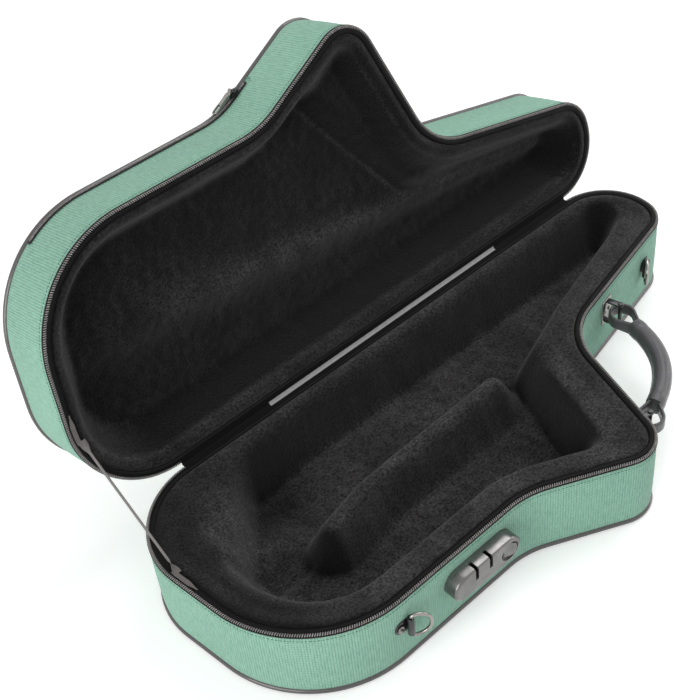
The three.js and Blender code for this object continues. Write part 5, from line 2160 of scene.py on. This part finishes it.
@dataclass
class PocketZip:
    """The zip of the lid's outer pocket, along the lid's side wall."""

    edge: float = 9.5 * MM
    tape_width: float = 5.2 * MM
    tape_thickness: float = 0.8 * MM
    coil_radius: float = 0.95 * MM
    coil_wire: float = 0.36 * MM
    coil_pitch: float = 1.5 * MM
    coil_proud: float = 1.75 * MM
    coil_spread: float = 1.25
    coil_flatness: float = 0.62
    coil_lean: float = 0.5 * MM
    piping_reach: float = 5.6 * MM
    bow_share: float = 0.62
    slider_share: float = 0.06
    neck_share: float = 0.27
    slider_proud: float = 3.1 * MM
    stitch_gap: float = 1.3 * MM
    stitch_pitch: float = 3.0 * MM

    @property
    def away(self) -> float:
        """How far the zip's line lies from the parting plane."""
        return SIZES.lid_height - self.edge

    def span(self) -> Span:
        """Travel of the zip's two ends."""
        return OUTLINE.corner_travel(BOW_FRONT, self.bow_share), OUTLINE.wall_travel(FLARE, self.neck_share)

    def tape(self) -> None:
        """The woven tape in the pocket's mouth, with a round end."""
        start, end = self.span()
        half = self.tape_width / 2
        ends = half * (1 - np.cos(np.linspace(0, RIGHT, 9)))[:-1]
        middle = OUTLINE.stretch(start + half, end - half)
        travels = np.concatenate([start + ends, middle, (end - ends)[::-1]])
        reach = np.clip(np.minimum(travels - start, end - travels) / half, 0.02, 1)
        widths = half * np.sqrt(1 - (1 - reach) ** 2)
        low, high = -SIZES.seat, -SIZES.seat - self.tape_thickness
        edge = high + 0.2 * MM
        rings = [placed(Half.LID, OUTLINE.places(travels, inset), self.away + side * widths)
                 for side, inset in ((-1, low), (-1, edge), (-0.9, high), (0.9, high), (1, edge), (1, low))]
        obj = grown("pocket_tape", rings, loop_closed=False, travel=travels)
        settle(obj, TAPE, "lid", "pocket_zip_tape")

    def coil(self) -> None:
        """The closed coil, as two leaning rows of teeth that mesh."""
        start, end = self.span()
        travels, angle = winding(start + self.tape_width / 2, end - self.tape_width / 2, self.coil_pitch)
        away = self.away + self.coil_spread * self.coil_radius * np.cos(angle)
        inset = -self.coil_proud - self.coil_flatness * self.coil_radius * np.sin(angle)
        spots = OUTLINE.places(travels + self.coil_lean * np.cos(angle), inset)
        obj = wire("pocket_coil", placed(Half.LID, spots, away), self.coil_wire, sides=4)
        settle(obj, COIL, "lid", "pocket_zip_coil", angle=60)

    def stitches(self) -> None:
        """Two rows of stitches round the mouth, but not where they would run into the piping."""
        start, end = self.span()
        count = round((end - start) / self.stitch_pitch)
        spots = []
        for row in (1, 2):
            offset, turns = self.tape_width / 2 + row * self.stitch_gap, 6 + row
            spots += [(start + (end - start) * (i + 0.5) / count, side * offset, None)
                      for side in (-1, 1) for i in range(count)]
            for angle in (-RIGHT + math.pi * (i + 0.5) / turns for i in range(turns)):
                spots.append((end + offset * math.cos(angle), offset * math.sin(angle), angle))
        places = []
        for travel, across, angle in spots:
            if self.away + across < SIZES.lid_height - self.piping_reach:
                place = frame_at(Half.LID, travel, self.away + across, 0.35 * MM)
                places.append(place if angle is None else place @ turned(angle + RIGHT, "Z"))
        row = stitched("pocket_stitches", (1.05 * MM, 0.34 * MM, 0.3 * MM), places, 6, 4)
        settle(row, SEAM, "lid", angle=60)

    def build(self) -> None:
        """Builds the zip and its slider."""
        self.tape()
        self.coil()
        self.stitches()
        place = OUTLINE.wall_travel(FLARE, self.slider_share)
        matrix = frame_at(Half.LID, place, self.away, self.slider_proud)
        names = ("pocket_slider", "pocket_pull")
        Slider("pocket", matrix, -RIGHT, names, names).build()


@dataclass
class GrabStrap:
    """A webbing strap on the lid's outer face, under a leather patch at each end."""

    share: float = 0.2
    edge: float = 5 * MM
    length: float = 104 * MM
    width: float = 20 * MM
    thickness: float = 3 * MM
    rise: float = 13 * MM
    foot: float = 20 * MM
    panel_inset: float = 4.3 * MM
    patch_length: float = 18 * MM
    patch_thickness: float = 1.4 * MM
    patch_over: float = 2 * MM
    stitch_pitch: float = 2.6 * MM

    def frame(self) -> Matrix:
        """X along the strap, Y across it towards the middle of the lid, Z away from the lid."""
        travel = OUTLINE.wall_travel(WAIST, self.share)
        inset = self.panel_inset + self.edge + self.width / 2
        wall = frame_at(Half.LID, travel, SIZES.lid_height + SIZES.seat, -inset)
        return wall @ turned(-RIGHT, "X")

    def arch(self, x: float) -> float:
        """How high the strap stands at a place along it."""
        free = self.length / 2 - self.foot
        return self.rise * float(fall(free - abs(x), free / 2))

    def strap(self, matrix: Matrix) -> None:
        """The arched strap, soft at its edges."""
        sections = []
        for x in np.linspace(-self.length / 2, self.length / 2, 53):
            middle = self.arch(x) + self.thickness / 2
            sections.append(np.array([
                matrix @ Vector((x, across * self.width / 2, middle + up * self.thickness / 2))
                for up, across in ROUND_BAR
            ]))
        settle(tube("carry_strap", sections), TAPE, "lid", "grab_strap")

    def patch(self, end: End, side: int, matrix: Matrix) -> None:
        """A leather patch over one end of the strap, with its stitches."""
        place = side * (self.length / 2 + self.patch_over - self.patch_length / 2)
        height = self.thickness + SIZES.seat + self.patch_thickness / 2
        size = (self.patch_length, self.width + 2 * self.patch_over, self.patch_thickness)
        patch = cube(size, (place, 0, height), 0.6 * MM, 4)
        fitted(f"strap_patch_{end.value}", [patch], matrix, LEATHER, "lid", f"grab_patch_{end.value}",
               angle=50)
        top = height + self.patch_thickness / 2
        places = [matrix @ shift(place + (i - 2.5) * self.stitch_pitch, row * self.width * 0.5, top)
                  for i in range(6) for row in (-1, 1)]
        stitches = stitched(f"strap_patch_stitches_{end.value}", (0.95 * MM, 0.4 * MM, 0.3 * MM), places)
        settle(stitches, THREAD, "lid", angle=60)

    def build(self) -> None:
        """Builds the strap and its patches."""
        matrix = self.frame()
        self.strap(matrix)
        self.patch(End.NECK, 1, matrix)
        self.patch(End.BELL, -1, matrix)


def dress_carried() -> None:
    """Gives every CAD node that still shows the finish of its slot."""
    slots = {part["node"]: part["material_slot"] for part in frame["record"]["subparts"]}
    finishes = {"steel": STEEL, "foam": FOAM, "leather": LEATHER, "graphite": GRAPHITE, "webbing": BAND}
    for name, node in frame["nodes"].items():
        dress(node, finishes.get(slots[name], BLACK))


def main() -> None:
    """Builds the case piece by piece."""
    logging.basicConfig(level=logging.INFO, format="%(message)s")
    bpy.context.scene.view_settings.view_transform = "Standard"
    studio = Studio()
    studio.set_camera()
    studio.lay_floor()
    studio.hang_lights()
    for half in Half:
        Rim(half).build()
        Lining(half).build()
    HingeCloth().build()
    LidStay().build()
    Handle().build()
    lock = Lock()
    lock.build()
    bow_ring = OUTLINE.corner_travel(BOW_FRONT, 1) + lock.start - SIZES.ring_lock_gap
    RingHolder(End.BOW, 1, bow_ring).build()
    RingHolder(End.NECK, -1, OUTLINE.wall_travel(WAIST, SIZES.ring_neck_share)).build()
    hinge_start = OUTLINE.corner_travel(NECK_BACK, 1)
    for end, travel in ((End.BOW, -SIZES.zip_rest), (End.NECK, hinge_start + SIZES.zip_rest)):
        matrix = frame_at(Half.BASE, travel, SIZES.zip_slider_drop, SIZES.zip_slider_proud)
        nodes = (f"zip_slider_{end.value}", f"zip_pull_{end.value}")
        Slider(f"zip_{end.value}", matrix, 0, nodes, (f"slider_{end.value}", f"pull_{end.value}")).build()
    PocketZip().build()
    GrabStrap().build()
    dress_carried()


if __name__ == "__main__":
    main()
